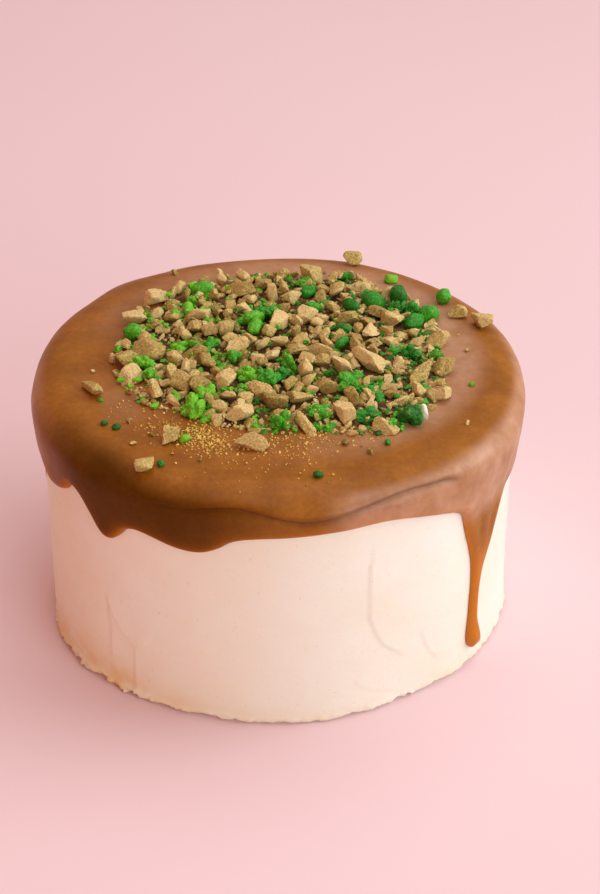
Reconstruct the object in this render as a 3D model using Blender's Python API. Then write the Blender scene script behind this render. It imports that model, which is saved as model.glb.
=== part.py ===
# A small round layer cake in buttercream, with a poured caramel glaze that runs down its side
# and a heap of chopped biscuit and green crumble on top. Metres, +Z up, base centre at the origin.
# An azimuth is in degrees from the front (-Y), positive towards +X.
import math
import random

import bmesh
import bpy
from mathutils import Euler, Matrix, Vector

MM = 0.001
GAP = 0.3 * MM  # clearance between pieces that touch

# Cake: a 6 inch tin, with buttercream all round
TIN_RADIUS = 76 * MM
FROSTING = 4 * MM
CAKE_RADIUS = TIN_RADIUS + FROSTING
CAKE_HEIGHT = 84.5 * MM
CAKE_EDGE = 6 * MM
CAKE_COLUMNS = 80
CAKE_SIDE_RINGS = 6
BASE_CHAMFER = 1.2 * MM
SWELL_FADE = 45 * MM  # height over which the uneven base evens out
BASE_SWELLS = ((-58, 1.7 * MM, 16), (32, -1.6 * MM, 13), (150, 1.1 * MM, 30), (-130, -0.8 * MM, 25))
SIDE_WAVES = ((3, 0.35 * MM, 20), (7, 0.2 * MM, 65))

# Glaze: thick on top, rolling over the edge and thinning down the side
GLAZE_TOP = 90.6 * MM
GLAZE_RADIUS = 84.4 * MM
WIDEST_Z = 83 * MM
SHOULDER_RUN = 14 * MM
SHOULDER_DROP = GLAZE_TOP - WIDEST_Z
FLAT_RADIUS = GLAZE_RADIUS - SHOULDER_RUN
LIP = 1.9 * MM  # thickness at the lower edge
GLAZE_COLUMNS = 128
RIM_SWELLS = (
    (-142, 2.0 * MM, 30), (-138, 2.4 * MM, 8), (-92, -1.6 * MM, 18), (62, 0.6 * MM, 12),
    (90, -1.4 * MM, 20), (155, 1.9 * MM, 20), (178, -1.0 * MM, 14),
)

# Lower edge of the glaze, one entry for each drip tip and for each bay between drips
EDGE_TURNS = (
    (-64, 65.4), (-53, 74.0), (-42.4, 60.7), (-33.5, 69.0), (-20.5, 66.6), (-4, 74.8),
    (20, 76.2), (36, 73.2), (45.5, 67.6), (58, 56.5), (72, 58.8), (84, 66.0), (95, 55.5),
    (107, 70.5), (121, 57.0), (134, 67.5), (148, 49.0), (163, 69.0), (176, 61.5), (188, 71.5),
    (203, 54.0), (218, 66.5), (231, 58.0), (246, 70.0), (262, 55.0), (280, 69.0),
)

# Crease under the thicker upper roll at the front: azimuth, place on the section, depth in mm
CREASE_TURNS = (
    (-34, 1.93, 0.0), (-24, 1.86, 0.5), (-9, 1.68, 1.3), (7, 2.0, 1.5), (30, 1.66, 1.4), (38, 1.72, 1.1),
    (46, 1.9, 0.0), (150, 1.7, 0.0), (172, 1.78, 1.2), (196, 1.95, 1.3), (215, 1.85, 0.0),
)

CREASE_WIDTH = 0.12
CREASE_FADE = 0.6  # share of its depth that the crease's lower side swells out again
TOP_PLACES = (0.0, 0.6, 1.0, 1.25, 1.48)  # rings from the middle to the crease
SIDE_START = 1.92
SIDE_SHARES = (0.0, 0.33, 0.7, 1.0)  # rings from below the crease to the lower edge
LIP_INSET = 0.45
LIP_RISE = 0.4
CORNER_CLEARANCE = 1.3 * GAP

# Long drips: height, azimuth of the left and right sides, thickness, all but the azimuths in mm
FRONT_DRIP = (
    (66, 47.6, 69.0, 1.6), (58, 49.0, 64.5, 2.0), (50, 50.8, 61.5, 2.2), (44, 51.9, 58.8, 2.2),
    (37, 52.3, 56.4, 2.0), (27, 52.2, 55.4, 2.0), (18, 52.0, 55.5, 2.2), (12.2, 51.8, 56.3, 2.8),
    (8.8, 52.2, 56.1, 2.9), (6.4, 53.4, 55.3, 2.0),
)
BACK_DRIP = (
    (58, 141.0, 155.0, 1.8), (50, 143.8, 152.6, 2.4), (42, 145.0, 150.9, 2.5), (34, 145.4, 150.2, 2.6),
    (28, 144.8, 150.9, 3.1), (24.8, 145.2, 150.6, 3.1), (22.9, 146.4, 149.4, 2.2),
)
LEFT_DRIP = (
    (62, 255.5, 268.0, 1.7), (54, 258.0, 266.3, 2.3), (47, 259.2, 265.0, 2.5), (41, 258.9, 265.4, 3.0),
    (37.8, 259.3, 265.0, 3.0), (36, 260.6, 263.7, 2.1),
)
DRIP_SIDES = 7
DRIP_CLEARANCE = 0.1 * MM  # beyond the usual gap, as the cake's faces are flat
DRIP_EDGE = 0.25 * MM  # thickness at a drip's sides
DRIP_BACK = (0.75, 0.25)

# Heap: radius in mm about its centre, by azimuth
HEAP_CENTRE = Vector((0, 6 * MM, 0))
HEAP_TURNS = (
    (-169, 59), (-143, 61), (-110, 56), (-76, 56), (-57, 56), (-40, 51), (-16, 50), (10, 52),
    (41, 63), (68, 60), (94, 56), (125, 58), (161, 63), (176, 58),
)
CORE_SHARE = 0.9
CORE_COLUMNS = 32
CORE_RINGS = 3
CORE_RIM = 0.8 * MM
CORE_MIDDLE = 3.4 * MM
CORE_BUMP = 0.5 * MM
BUMP_RUN_X = 3.1 * MM
BUMP_RUN_Y = 3.7 * MM
FILL_CHUNKS = 134
FILL_SIZES = (5.0, 9.4)
FILL_SHAPES = (0.6, 0.95)  # width and height as shares of the length
FILL_SPACING = 0.77
FILL_SHARE = 0.94
MOST_DRAWS = 6000
BARE_PATCH = Vector((-45, -17, 0)) * MM
BARE_RADIUS = 6 * MM

# The biggest pieces of the heap as they lie: x, y, length, width, height in mm and turn in degrees
BIG_CHUNKS = (
    (-44, 3, 13, 8, 7, -40), (30, -5, 13, 9, 7, -15), (-14, 45, 13, 6, 6, -8), (12, 57, 9, 8, 8, 30),
    (-44, 42, 9, 8, 7, 70), (-12, -36, 11, 8, 7, 25), (-1, -30, 11, 7, 6, -20), (8, -27, 10, 6, 5, 35),
    (-32, -18, 8, 8, 8, 0), (-17, -19, 9, 7, 7, 60), (22, -37, 10, 8, 8, -60), (35, -44, 9, 6, 6, 30),
    (53, -23, 8, 8, 5, 0), (48, -11, 14, 5, 5, 42), (55, -6, 8, 7, 7, 80), (54, 13, 9, 8, 6, 10),
    (9, -43, 11, 5, 5, -68), (20, 47, 10, 6, 7, 60), (-51, -2, 8, 7, 7, 0), (-49, -12, 9, 6, 6, 40),
    (-50, 27, 8, 7, 7, 20), (33, 38, 9, 7, 7, -50), (42, 42, 9, 6, 8, -75), (1, -42, 7.4, 7.4, 8, 0),
    (29, -38, 10, 6, 6, 15), (43, -38, 10, 8, 7, -30), (-27, -33, 9, 8, 9, 80), (-50, 17, 7, 6, 7, 0),
    (24, -19, 11, 9, 6, 20), (52, 30, 8, 7, 7, 0), (47, 25, 9, 6, 6, 50), (-10, -14, 8, 6, 6, 0),
)

# Pieces that lie apart on the glaze, each as large as a berry: x, y, length, width, height and turn
STRAYS = {
    "chunk_far_rim": (27, 74, 7, 6, 5.5, 20),
    "chunk_right": (62.5, 33, 7, 6, 5, 0),
    "chunk_right_rim": (70, 26, 9, 7, 6.5, -30),
    "pellet_right": (58, 43, 5.5, 5.5, 6, 0),
    "shard_left": (-61, -20, 12, 4.5, 5, -55),
    "chunk_front_left": (-41, -65, 7.5, 5.2, 4.6, 25),
    "chunk_front": (-34.5, -49.5, 7.2, 6.6, 6.5, 55),
    "lens_front": (-8, -53, 11, 6.6, 5, 8),
}

# How deep pieces sit: shares of their own height above what carries them
BIG_RISE = 0.22
FILL_RISE = 0.2
STRAY_RISE = 0.42
CRUMB_RISE = 0.2
CHUNK_LIFT = 0.5 * MM
CRUMB_SINK = 1.2 * MM
CHUNK_SWELL = 1.08
CHUNK_UNEVEN = 0.17
CHUNK_TILT = 0.3

PLACE_SEED = 11
SHAPE_SEED = 5

# Small crumbs stuck to the glaze: x, y and size in mm
CRUMBS = (
    (-55.5, -39.5, 2.4), (-51.5, -42, 2.6), (-34.8, -62.6, 3.0), (-29, -50, 4.0), (13, -70, 3.2),
    (29.5, -56.5, 3.0), (21.5, -51, 3.0), (35, -51.5, 2.6), (61, -39, 2.0), (64, -15, 2.2),
    (-45.5, -51.5, 2.2), (40, 58, 4.6),
    (-58, -25, 2.2), (-38, 65, 2.8), (64, 8, 2.4),
)


def put(azimuth, radius, z):
    turn = math.radians(azimuth)
    return Vector((radius * math.sin(turn), -radius * math.cos(turn), z))


def azimuth_of(point):
    return math.degrees(math.atan2(point.x, -point.y))


def eased(share):
    share = min(max(share, 0.0), 1.0)
    return share * share * (3 - 2 * share)


def round_the_cake(stations, azimuth, column=1):
    """The value at this azimuth, easing from one station to the next and on past the last to the first."""
    first = stations[0]
    azimuth = first[0] + (azimuth - first[0]) % 360
    closed = stations + ((first[0] + 360,) + first[1:],)
    for start, end in zip(closed, closed[1:]):
        if azimuth <= end[0]:
            share = eased((azimuth - start[0]) / (end[0] - start[0]))
            return start[column] + (end[column] - start[column]) * share
    return first[column]


def swelling(swells, azimuth):
    """How far the outline stands out here, as a sum of broad swells at (azimuth, height, half width)."""
    total = 0.0
    for centre, height, width in swells:
        away = (azimuth - centre + 180) % 360 - 180
        total += height * math.exp(-((away / width) ** 2))
    return total


def cake_radius(azimuth, z):
    base_share = 1 - eased(z / SWELL_FADE)
    waves = sum(
        height * math.sin(math.radians(count * azimuth + start)) for count, height, start in SIDE_WAVES
    )
    return CAKE_RADIUS + base_share * swelling(BASE_SWELLS, azimuth) + waves * math.sin(
        math.pi * min(z / CAKE_HEIGHT, 1.0)
    )


def glaze_surface(x, y):
    """Height of the glaze's upper surface under a topping."""
    radius = math.hypot(x, y)
    rim = GLAZE_RADIUS + swelling(RIM_SWELLS, azimuth_of(Vector((x, y, 0))))
    beyond = min(max((radius - (rim - SHOULDER_RUN)) / SHOULDER_RUN, 0.0), 1.0)
    return WIDEST_Z + SHOULDER_DROP * math.sqrt(1 - beyond * beyond)


def material(name, colour, roughness):
    made = bpy.data.materials.new(name)
    made.use_nodes = True
    shader = made.node_tree.nodes["Principled BSDF"]
    shader.inputs["Base Color"].default_value = (*colour, 1.0)
    shader.inputs["Roughness"].default_value = roughness
    shader.inputs["Metallic"].default_value = 0.0
    return made


def add_object(name, mesh_data, finish, smooth=True):
    mesh = bpy.data.meshes.new(name)
    mesh_data.to_mesh(mesh)
    mesh_data.free()
    mesh.materials.append(finish)
    if smooth:
        mesh.shade_smooth()
    made = bpy.data.objects.new(name, mesh)
    bpy.context.scene.collection.objects.link(made)
    return made


def spun_section(section, columns):
    """Spins a section that starts and ends on the axis, keeping each point's ring number."""
    spun = bmesh.new()
    ring = spun.verts.layers.int.new("ring")
    points = []
    for number, (radius, z) in enumerate(section):
        point = spun.verts.new((0, -radius, z))
        point[ring] = number
        points.append(point)
    for start, end in zip(points, points[1:]):
        spun.edges.new((start, end))
    bmesh.ops.spin(
        spun, geom=spun.verts[:] + spun.edges[:], axis=(0, 0, 1), cent=(0, 0, 0),
        angle=math.tau, steps=columns, use_merge=True, use_duplicate=False,
    )
    bmesh.ops.remove_doubles(spun, verts=spun.verts, dist=1e-6)
    bmesh.ops.recalc_face_normals(spun, faces=spun.faces)
    return spun, ring


def cake_corner(clearance):
    """The middle of the cake's rounded upper edge, or of a line this far outside it."""
    reach = (CAKE_EDGE + clearance) * math.sqrt(0.5)
    return CAKE_RADIUS - CAKE_EDGE + reach, CAKE_HEIGHT - CAKE_EDGE + reach


def make_cake(finish):
    ring_step = (CAKE_HEIGHT - CAKE_EDGE - BASE_CHAMFER) / CAKE_SIDE_RINGS
    section = [(0, 0), (CAKE_RADIUS - BASE_CHAMFER, 0)]
    section += [(CAKE_RADIUS, BASE_CHAMFER + ring_step * n) for n in range(CAKE_SIDE_RINGS + 1)]
    section += [cake_corner(0), (CAKE_RADIUS - CAKE_EDGE, CAKE_HEIGHT), (0, CAKE_HEIGHT)]
    body, _ = spun_section(section, CAKE_COLUMNS)
    for point in body.verts:
        radius = math.hypot(point.co.x, point.co.y)
        azimuth = azimuth_of(point.co)
        point.co = put(azimuth, radius * cake_radius(azimuth, point.co.z) / CAKE_RADIUS, point.co.z)
    return add_object("cake", body, finish)


def glaze_section_point(place, azimuth):
    """A point of the outer section: places 0 to 1 lie on top, 1 to 2 on the shoulder, 2 to 3 below."""
    edge = round_the_cake(EDGE_TURNS, azimuth) * MM
    rim = swelling(RIM_SWELLS, azimuth)
    if place <= 1:
        return place * FLAT_RADIUS, GLAZE_TOP
    if place <= 2:
        turn = math.radians(90 * (place - 1))
        radius = FLAT_RADIUS + SHOULDER_RUN * math.sin(turn) + rim * eased(place - 1)
        z = WIDEST_Z + SHOULDER_DROP * math.cos(turn)
    else:
        down = place - 2
        lip_radius = cake_radius(azimuth, edge) + GAP + LIP
        radius = GLAZE_RADIUS + rim + (lip_radius - GLAZE_RADIUS - rim) * eased(down)
        z = WIDEST_Z + (edge + LIP / 2 - WIDEST_Z) * down
    crease = round_the_cake(CREASE_TURNS, azimuth, 1)
    depth = round_the_cake(CREASE_TURNS, azimuth, 2) * MM
    step = eased((place - crease) / CREASE_WIDTH)
    fade = 1 - CREASE_FADE * eased(place - crease)
    return radius - depth * step * fade, z


def cap_section(azimuth):
    """The cap's half section here, from its top middle round its lip to the middle of its underside."""
    crease = round_the_cake(CREASE_TURNS, azimuth)
    below = max(crease + 2 * CREASE_WIDTH, SIDE_START)
    places = [*TOP_PLACES, crease, crease + CREASE_WIDTH]
    places += [below + (3 - below) * share for share in SIDE_SHARES]
    section = [glaze_section_point(place, azimuth) for place in places]
    edge = round_the_cake(EDGE_TURNS, azimuth) * MM
    side = cake_radius(azimuth, edge) + GAP
    corner = CAKE_HEIGHT - CAKE_EDGE
    section += [(side + LIP * LIP_INSET, edge), (side, edge + LIP * LIP_RISE)]
    section += [(cake_radius(azimuth, corner) + GAP, corner), cake_corner(CORNER_CLEARANCE)]
    section += [(CAKE_RADIUS - CAKE_EDGE, CAKE_HEIGHT + GAP), (0, CAKE_HEIGHT + GAP)]
    return section


def make_cap(finish):
    """The poured cap: one section spun round, then each column moved to the section at its azimuth."""
    cap, ring = spun_section(cap_section(0), GLAZE_COLUMNS)
    for point in cap.verts:
        azimuth = azimuth_of(point.co)
        point.co = put(azimuth, *cap_section(azimuth)[point[ring]])
    return add_object("glaze", cap, finish)


def make_drip(name, stations, finish):
    """A long drip: rounded sections down the side of the cake, bridged and closed at both ends."""
    drip = bmesh.new()
    loops = []
    for z, left, right, thick in stations:
        z *= MM
        section = []
        for n in range(DRIP_SIDES + 1):
            share = n / DRIP_SIDES
            section.append((share, DRIP_EDGE + thick * MM * math.sqrt(max(1 - (2 * share - 1) ** 2, 0.0))))
        section += [(share, 0.0) for share in DRIP_BACK]
        points = []
        for share, proud in section:
            azimuth = left + (right - left) * share
            wall = cake_radius(azimuth, z) + GAP + DRIP_CLEARANCE
            points.append(drip.verts.new(put(azimuth, wall + proud, z)))
        loops.append([drip.edges.new((a, b)) for a, b in zip(points, points[1:] + points[:1])])
    for upper, lower in zip(loops, loops[1:]):
        bmesh.ops.bridge_loops(drip, edges=upper + lower)
    bmesh.ops.holes_fill(drip, edges=drip.edges, sides=0)
    bmesh.ops.recalc_face_normals(drip, faces=drip.faces)
    return add_object(name, drip, finish)


def make_chunk(name, draw, place, size, turn, finish, lift=GAP):
    """A chopped piece: an uneven lump of 12 corners, with its underside flattened where it lies."""
    chunk = bmesh.new()
    bmesh.ops.create_icosphere(chunk, subdivisions=1, radius=0.5)
    lean = draw.uniform(-CHUNK_TILT, CHUNK_TILT)
    roll = draw.uniform(-CHUNK_TILT, CHUNK_TILT)
    tilt = Euler((lean, roll, math.radians(turn)))
    shaping = Matrix.Translation(place) @ tilt.to_matrix().to_4x4() @ Matrix.Diagonal((*size, 1))
    for corner in chunk.verts:
        corner.co *= CHUNK_SWELL + draw.uniform(-CHUNK_UNEVEN, CHUNK_UNEVEN)
        corner.co = shaping @ corner.co
        corner.co.z = max(corner.co.z, glaze_surface(corner.co.x, corner.co.y) + lift)
    bmesh.ops.recalc_face_normals(chunk, faces=chunk.faces)
    return add_object(name, chunk, finish, smooth=False)


def join(base, pieces):
    """Joins the pieces onto the base with one Boolean union, and removes them."""
    gathered = bpy.data.collections.new(base.name + " pieces")
    bpy.context.scene.collection.children.link(gathered)
    for piece in pieces:
        bpy.context.scene.collection.objects.unlink(piece)
        gathered.objects.link(piece)
    union = base.modifiers.new("union", "BOOLEAN")
    union.operation = "UNION"
    union.operand_type = "COLLECTION"
    union.collection = gathered
    union.solver = "EXACT"
    bpy.context.view_layer.objects.active = base
    bpy.ops.object.modifier_apply(modifier=union.name)
    for piece in pieces:
        bpy.data.objects.remove(piece)
    bpy.data.collections.remove(gathered)
    keep_main_body(base)


def keep_main_body(joined):
    """Drops loose scraps and the walls of sealed hollows, so that one solid body is left."""
    body = bmesh.new()
    body.from_mesh(joined.data)
    left = set(body.verts)
    islands = []
    while left:
        island = [left.pop()]
        for corner in island:
            for edge in corner.link_edges:
                other = edge.other_vert(corner)
                if other in left:
                    left.remove(other)
                    island.append(other)
        islands.append(island)
    islands.sort(key=len)
    for island in islands[:-1]:
        bmesh.ops.delete(body, geom=island, context="VERTS")
    body.to_mesh(joined.data)
    body.free()


def heap_radius(azimuth):
    return round_the_cake(HEAP_TURNS, azimuth) * MM


def core_height(x, y):
    """Height of the core's top above the glaze, from its thin rim to its middle, with low bumps."""
    place = Vector((x, y, 0)) - HEAP_CENTRE
    share = min(place.length / (heap_radius(azimuth_of(place)) * CORE_SHARE), 1.0)
    bumps = math.sin(x / BUMP_RUN_X) * math.sin(y / BUMP_RUN_Y + 1) * CORE_BUMP
    return CORE_RIM + (CORE_MIDDLE - CORE_RIM) * (1 - share**2) + bumps * (1 - share)


def make_core(finish):
    section = [(0, 0), (1, 0)] + [(n / CORE_RINGS, 1) for n in range(CORE_RINGS, -1, -1)]
    core, _ = spun_section(section, CORE_COLUMNS)
    for point in core.verts:
        azimuth = azimuth_of(point.co)
        reach = math.hypot(point.co.x, point.co.y) * heap_radius(azimuth) * CORE_SHARE
        upper = point.co.z > 0.5
        place = put(azimuth, reach, 0) + HEAP_CENTRE
        place.z = glaze_surface(place.x, place.y) + GAP
        if upper:
            place.z += core_height(place.x, place.y)
        point.co = place
    return add_object("topping_heap", core, finish)


def scattered(draw):
    """The smaller pieces, as place, size and turn: drawn inside the heap, clear of the ones before them."""
    placed = [(Vector((x, y, 0)) * MM, max(length, width) * MM) for x, y, length, width, _, _ in BIG_CHUNKS]
    found = []
    for _ in range(MOST_DRAWS):
        azimuth = draw.uniform(-180, 180)
        reach = math.sqrt(draw.random()) * FILL_SHARE * heap_radius(azimuth)
        shape = Vector((1, draw.uniform(*FILL_SHAPES), draw.uniform(*FILL_SHAPES)))
        size = shape * draw.uniform(*FILL_SIZES) * MM
        turn = draw.uniform(0, 180)
        spot = HEAP_CENTRE + put(azimuth, reach, 0)
        near = any((spot - other).length < FILL_SPACING * (size.x + wide) / 2 for other, wide in placed)
        if near or (spot - BARE_PATCH).length < BARE_RADIUS:
            continue
        placed.append((spot, size.x))
        found.append((spot, size, turn))
        if len(found) == FILL_CHUNKS:
            break
    return found


def make_heap(finish):
    core = make_core(finish)
    chunks = [
        (Vector((x, y, 0)) * MM, Vector((length, width, height)) * MM, turn, BIG_RISE)
        for x, y, length, width, height, turn in BIG_CHUNKS
    ]
    chunks += [(spot, size, turn, FILL_RISE) for spot, size, turn in scattered(random.Random(PLACE_SEED))]
    pieces = []
    draw = random.Random(SHAPE_SEED)
    for number, (place, size, turn, rise) in enumerate(chunks):
        place.z = glaze_surface(place.x, place.y) + core_height(place.x, place.y) + rise * size.z
        pieces.append(make_chunk(f"chunk {number}", draw, place, size, turn, finish, CHUNK_LIFT))
    join(core, pieces)


def make_glaze(finish):
    cap = make_cap(finish)
    pieces = [
        make_drip("front drip", FRONT_DRIP, finish),
        make_drip("back drip", BACK_DRIP, finish),
        make_drip("left drip", LEFT_DRIP, finish),
    ]
    draw = random.Random(SHAPE_SEED)
    for number, (x, y, width) in enumerate(CRUMBS):
        place = Vector((x * MM, y * MM, 0))
        place.z = glaze_surface(place.x, place.y) + CRUMB_RISE * width * MM
        size = Vector((width, width, width)) * MM
        pieces.append(make_chunk(f"crumb {number}", draw, place, size, 0, finish, -CRUMB_SINK))
    join(cap, pieces)


def make_strays(biscuit, crumble):
    draw = random.Random(SHAPE_SEED)
    for name, (x, y, length, width, height, turn) in STRAYS.items():
        size = Vector((length, width, height)) * MM
        place = Vector((x * MM, y * MM, 0))
        place.z = glaze_surface(place.x, place.y) + STRAY_RISE * size.z
        finish = crumble if name.startswith("pellet") else biscuit
        make_chunk(name, draw, place, size, turn, finish)


def main():
    for old in list(bpy.data.objects):
        bpy.data.objects.remove(old)
    buttercream = material("buttercream", (0.84, 0.72, 0.60), 0.6)
    caramel = material("caramel glaze", (0.27, 0.12, 0.045), 0.4)
    biscuit = material("chopped biscuit", (0.40, 0.26, 0.12), 0.9)
    crumble = material("green crumble", (0.02, 0.27, 0.02), 0.9)
    make_cake(buttercream)
    make_glaze(caramel)
    make_heap(biscuit)
    make_strays(biscuit, crumble)


main()
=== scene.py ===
import math
import random

import bmesh
import bpy
import numpy as np
from mathutils import Euler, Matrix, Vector, noise
from mathutils.bvhtree import BVHTree
from mathutils.kdtree import KDTree


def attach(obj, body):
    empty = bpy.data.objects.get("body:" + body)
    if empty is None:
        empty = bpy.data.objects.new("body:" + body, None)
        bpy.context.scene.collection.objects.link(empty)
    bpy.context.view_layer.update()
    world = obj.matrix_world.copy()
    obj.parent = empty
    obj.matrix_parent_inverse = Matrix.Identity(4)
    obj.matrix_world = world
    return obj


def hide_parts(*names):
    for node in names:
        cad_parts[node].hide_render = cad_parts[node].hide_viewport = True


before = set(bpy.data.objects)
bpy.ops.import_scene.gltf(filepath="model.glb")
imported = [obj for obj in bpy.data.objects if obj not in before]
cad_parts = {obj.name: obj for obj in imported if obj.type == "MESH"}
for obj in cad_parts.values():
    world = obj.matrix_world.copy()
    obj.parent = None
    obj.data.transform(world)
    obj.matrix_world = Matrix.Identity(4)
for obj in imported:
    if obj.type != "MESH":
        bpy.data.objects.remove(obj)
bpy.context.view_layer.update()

millimetre = 0.001
degree = math.pi / 180


# Camera, lights and floor

cameraSettings = {
    "lens": 85,  # mm, on a sensor 36 mm along the picture's long side
    "elevation": 32.32,
    "distance": 0.7291,
    "aim": (0.00725, 0, 0.0571),
}


def buildCamera():
    data = bpy.data.cameras.new("camera")
    data.lens = cameraSettings["lens"]
    data.sensor_fit = "AUTO"
    data.sensor_width = 36
    camera = bpy.data.objects.new("camera", data)
    tilt = cameraSettings["elevation"] * degree
    back = Vector((0, -math.cos(tilt), math.sin(tilt))) * cameraSettings["distance"]
    camera.location = Vector(cameraSettings["aim"]) + back
    camera.rotation_euler = (90 * degree - tilt, 0, 0)
    bpy.context.scene.collection.objects.link(camera)
    bpy.context.scene.camera = camera


lightAim = (0, 0, 0.05)
lightSettings = {
    # name: place in metres, width in metres, watts, colour
    "windowLight": ((1.30, 0.10, 0.80), 1.1, 9.3, "#FFFFFF"),
    "topLight": ((0.15, 0.45, 1.5), 1.2, 6.4, "#FFFFFF"),
    "frontFill": ((0.66, -1.00, 0.60), 0.9, 6.1, "#FAFFFF"),
    "paperBounce": ((-0.90, -0.55, 0.30), 0.8, 2.2, "#FF8448"),
}
roomSettings = {
    "brightSide": (0.8, 0.35, 0.35),
    "turnover": (-0.75, 0.9),  # from here to here the room grows brighter
    "colours": ("#F0AF98", "#ECD0C7"),
    "strengths": (0.28, 0.90),
}


def linearColour(hexCode):
    channels = [int(hexCode[start:start + 2], 16) / 255 for start in (1, 3, 5)]
    linear = [c / 12.92 if c <= 0.04045 else ((c + 0.055) / 1.055) ** 2.4 for c in channels]
    return (*linear, 1.0)


def buildLights():
    for name, (place, width, watts, hexCode) in lightSettings.items():
        data = bpy.data.lights.new(name, "AREA")
        data.shape = "DISK"
        data.size = width
        data.energy = watts
        data.color = linearColour(hexCode)[:3]
        light = bpy.data.objects.new(name, data)
        light.location = place
        light.rotation_euler = (Vector(lightAim) - Vector(place)).to_track_quat("-Z", "Y").to_euler()
        bpy.context.scene.collection.objects.link(light)


def buildRoom():
    s = roomSettings
    world = bpy.data.worlds.new("pink paper round the table")
    world.use_nodes = True
    tree = world.node_tree
    background = tree.nodes["Background"]
    toward = addNode(tree, "ShaderNodeVectorMath", {
        0: addNode(tree, "ShaderNodeTexCoord").outputs["Generated"], 1: Vector(s["brightSide"]).normalized(),
    }, operation="DOT_PRODUCT").outputs["Value"]
    bright = spread(tree, toward, *s["turnover"])
    dim, lit = s["colours"]
    tree.links.new(rampOf(tree, bright, (0.0, dim), (1.0, lit)), background.inputs["Color"])
    tree.links.new(spread(tree, bright, 0, 1, *s["strengths"]), background.inputs["Strength"])
    bpy.context.scene.world = world
    bpy.context.scene.view_settings.view_transform = "Standard"


# One helper adds a node: its inputs are sockets to link or values to set

def addNode(tree, kind, inputs=None, **settings):
    node = tree.nodes.new(kind)
    for name, value in settings.items():
        setattr(node, name, value)
    for name, value in (inputs or {}).items():
        if isinstance(value, bpy.types.NodeSocket):
            tree.links.new(value, node.inputs[name])
        else:
            node.inputs[name].default_value = value
    return node


def newMaterial(name):
    made = bpy.data.materials.new(name)
    made.use_nodes = True
    return made, made.node_tree, made.node_tree.nodes["Principled BSDF"]


def noiseScale(sizeMm):
    return 1000 / sizeMm  # patterns on Object coordinates, which are in metres


def rampOf(tree, factor, *stops):
    ramp = addNode(tree, "ShaderNodeValToRGB", {"Fac": factor})
    elements = ramp.color_ramp.elements
    elements[0].position, elements[0].color = stops[0][0], linearColour(stops[0][1])
    elements[1].position, elements[1].color = stops[-1][0], linearColour(stops[-1][1])
    for position, hexCode in stops[1:-1]:
        elements.new(position).color = linearColour(hexCode)
    return ramp.outputs["Color"]


def noiseOf(tree, where, sizeMm, detail=3.0, roughness=0.5):
    settings = {"Vector": where, "Scale": noiseScale(sizeMm), "Detail": detail, "Roughness": roughness}
    return addNode(tree, "ShaderNodeTexNoise", settings).outputs["Fac"]


def mixed(tree, factor, first, second):
    node = addNode(tree, "ShaderNodeMix", data_type="RGBA", blend_type="MIX")
    for socket, value in ((node.inputs[0], factor), (node.inputs[6], first), (node.inputs[7], second)):
        if isinstance(value, bpy.types.NodeSocket):
            tree.links.new(value, socket)
        else:
            socket.default_value = value
    return node.outputs[2]


def spread(tree, value, lowest, highest, toLowest=0.0, toHighest=1.0):
    inputs = {
        "Value": value, "From Min": lowest, "From Max": highest, "To Min": toLowest, "To Max": toHighest,
    }
    return addNode(tree, "ShaderNodeMapRange", inputs).outputs["Result"]


def attributeOf(tree, name):
    return addNode(tree, "ShaderNodeAttribute", attribute_name=name).outputs["Fac"]


def product(tree, first, second):
    return addNode(tree, "ShaderNodeMath", {0: first, 1: second}, operation="MULTIPLY").outputs[0]


creamFinish = {
    "cream": ("#ECEDDB", "#EFF3E8"),
    # butter yellow, also used as a painted shade tint on the shaded left side
    "butter": "#E8D196",
    "speck": "#E0C9A4",
    "roughness": (0.44, 0.62),
    # sizes in mm
    "cloud": 32,
    "butterPatch": 9,
    "speckSize": 1.1,
    "wipe": 5,
    "wipeRelief": 3.0,
    "pore": 0.6,
}


def whippedButtercream():
    # whipped butter and sugar spread with a palette knife: satin matte, faintly translucent,
    # with a butter tone low down, and a faint yellow painted shade tint up the shaded left side
    s = creamFinish
    made, tree, shader = newMaterial("whipped buttercream, knife spread")
    where = addNode(tree, "ShaderNodeTexCoord").outputs["Object"]
    streaks = addNode(tree, "ShaderNodeMapping", {"Vector": where, "Scale": (1, 1, 4)}).outputs["Vector"]
    darker, lighter = s["cream"]
    cream = rampOf(tree, noiseOf(tree, where, s["cloud"]), (0.3, darker), (0.7, lighter))
    butterPatches = spread(tree, noiseOf(tree, where, s["butterPatch"], 4.0), 0.36, 0.62, 0.3, 1.0)
    # butter tone low down, and painted shade tint up the left side
    butterAndShadeShare = product(tree, attributeOf(tree, "butter"), butterPatches)
    butter = mixed(tree, butterAndShadeShare, cream, linearColour(s["butter"]))
    speck = spread(tree, noiseOf(tree, where, s["speckSize"], 1.0), 0.68, 0.78, 0.0, 0.35)
    tree.links.new(mixed(tree, speck, butter, linearColour(s["speck"])), shader.inputs["Base Color"])
    satin = spread(tree, noiseOf(tree, streaks, s["wipe"]), 0.3, 0.7, *s["roughness"])
    tree.links.new(satin, shader.inputs["Roughness"])
    shader.inputs["Subsurface Weight"].default_value = 0.25
    shader.inputs["Subsurface Radius"].default_value = (1.0, 0.6, 0.35)
    shader.inputs["Subsurface Scale"].default_value = 0.003
    wipes = addNode(tree, "ShaderNodeBump", {
        "Height": noiseOf(tree, streaks, s["wipeRelief"], 4.0, 0.6), "Strength": 0.18, "Distance": 0.0006,
    })
    pores = addNode(tree, "ShaderNodeBump", {
        "Height": noiseOf(tree, where, s["pore"], 1.0), "Strength": 0.10, "Distance": 0.0002,
        "Normal": wipes.outputs["Normal"],
    })
    tree.links.new(pores.outputs["Normal"], shader.inputs["Normal"])
    return made


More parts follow.
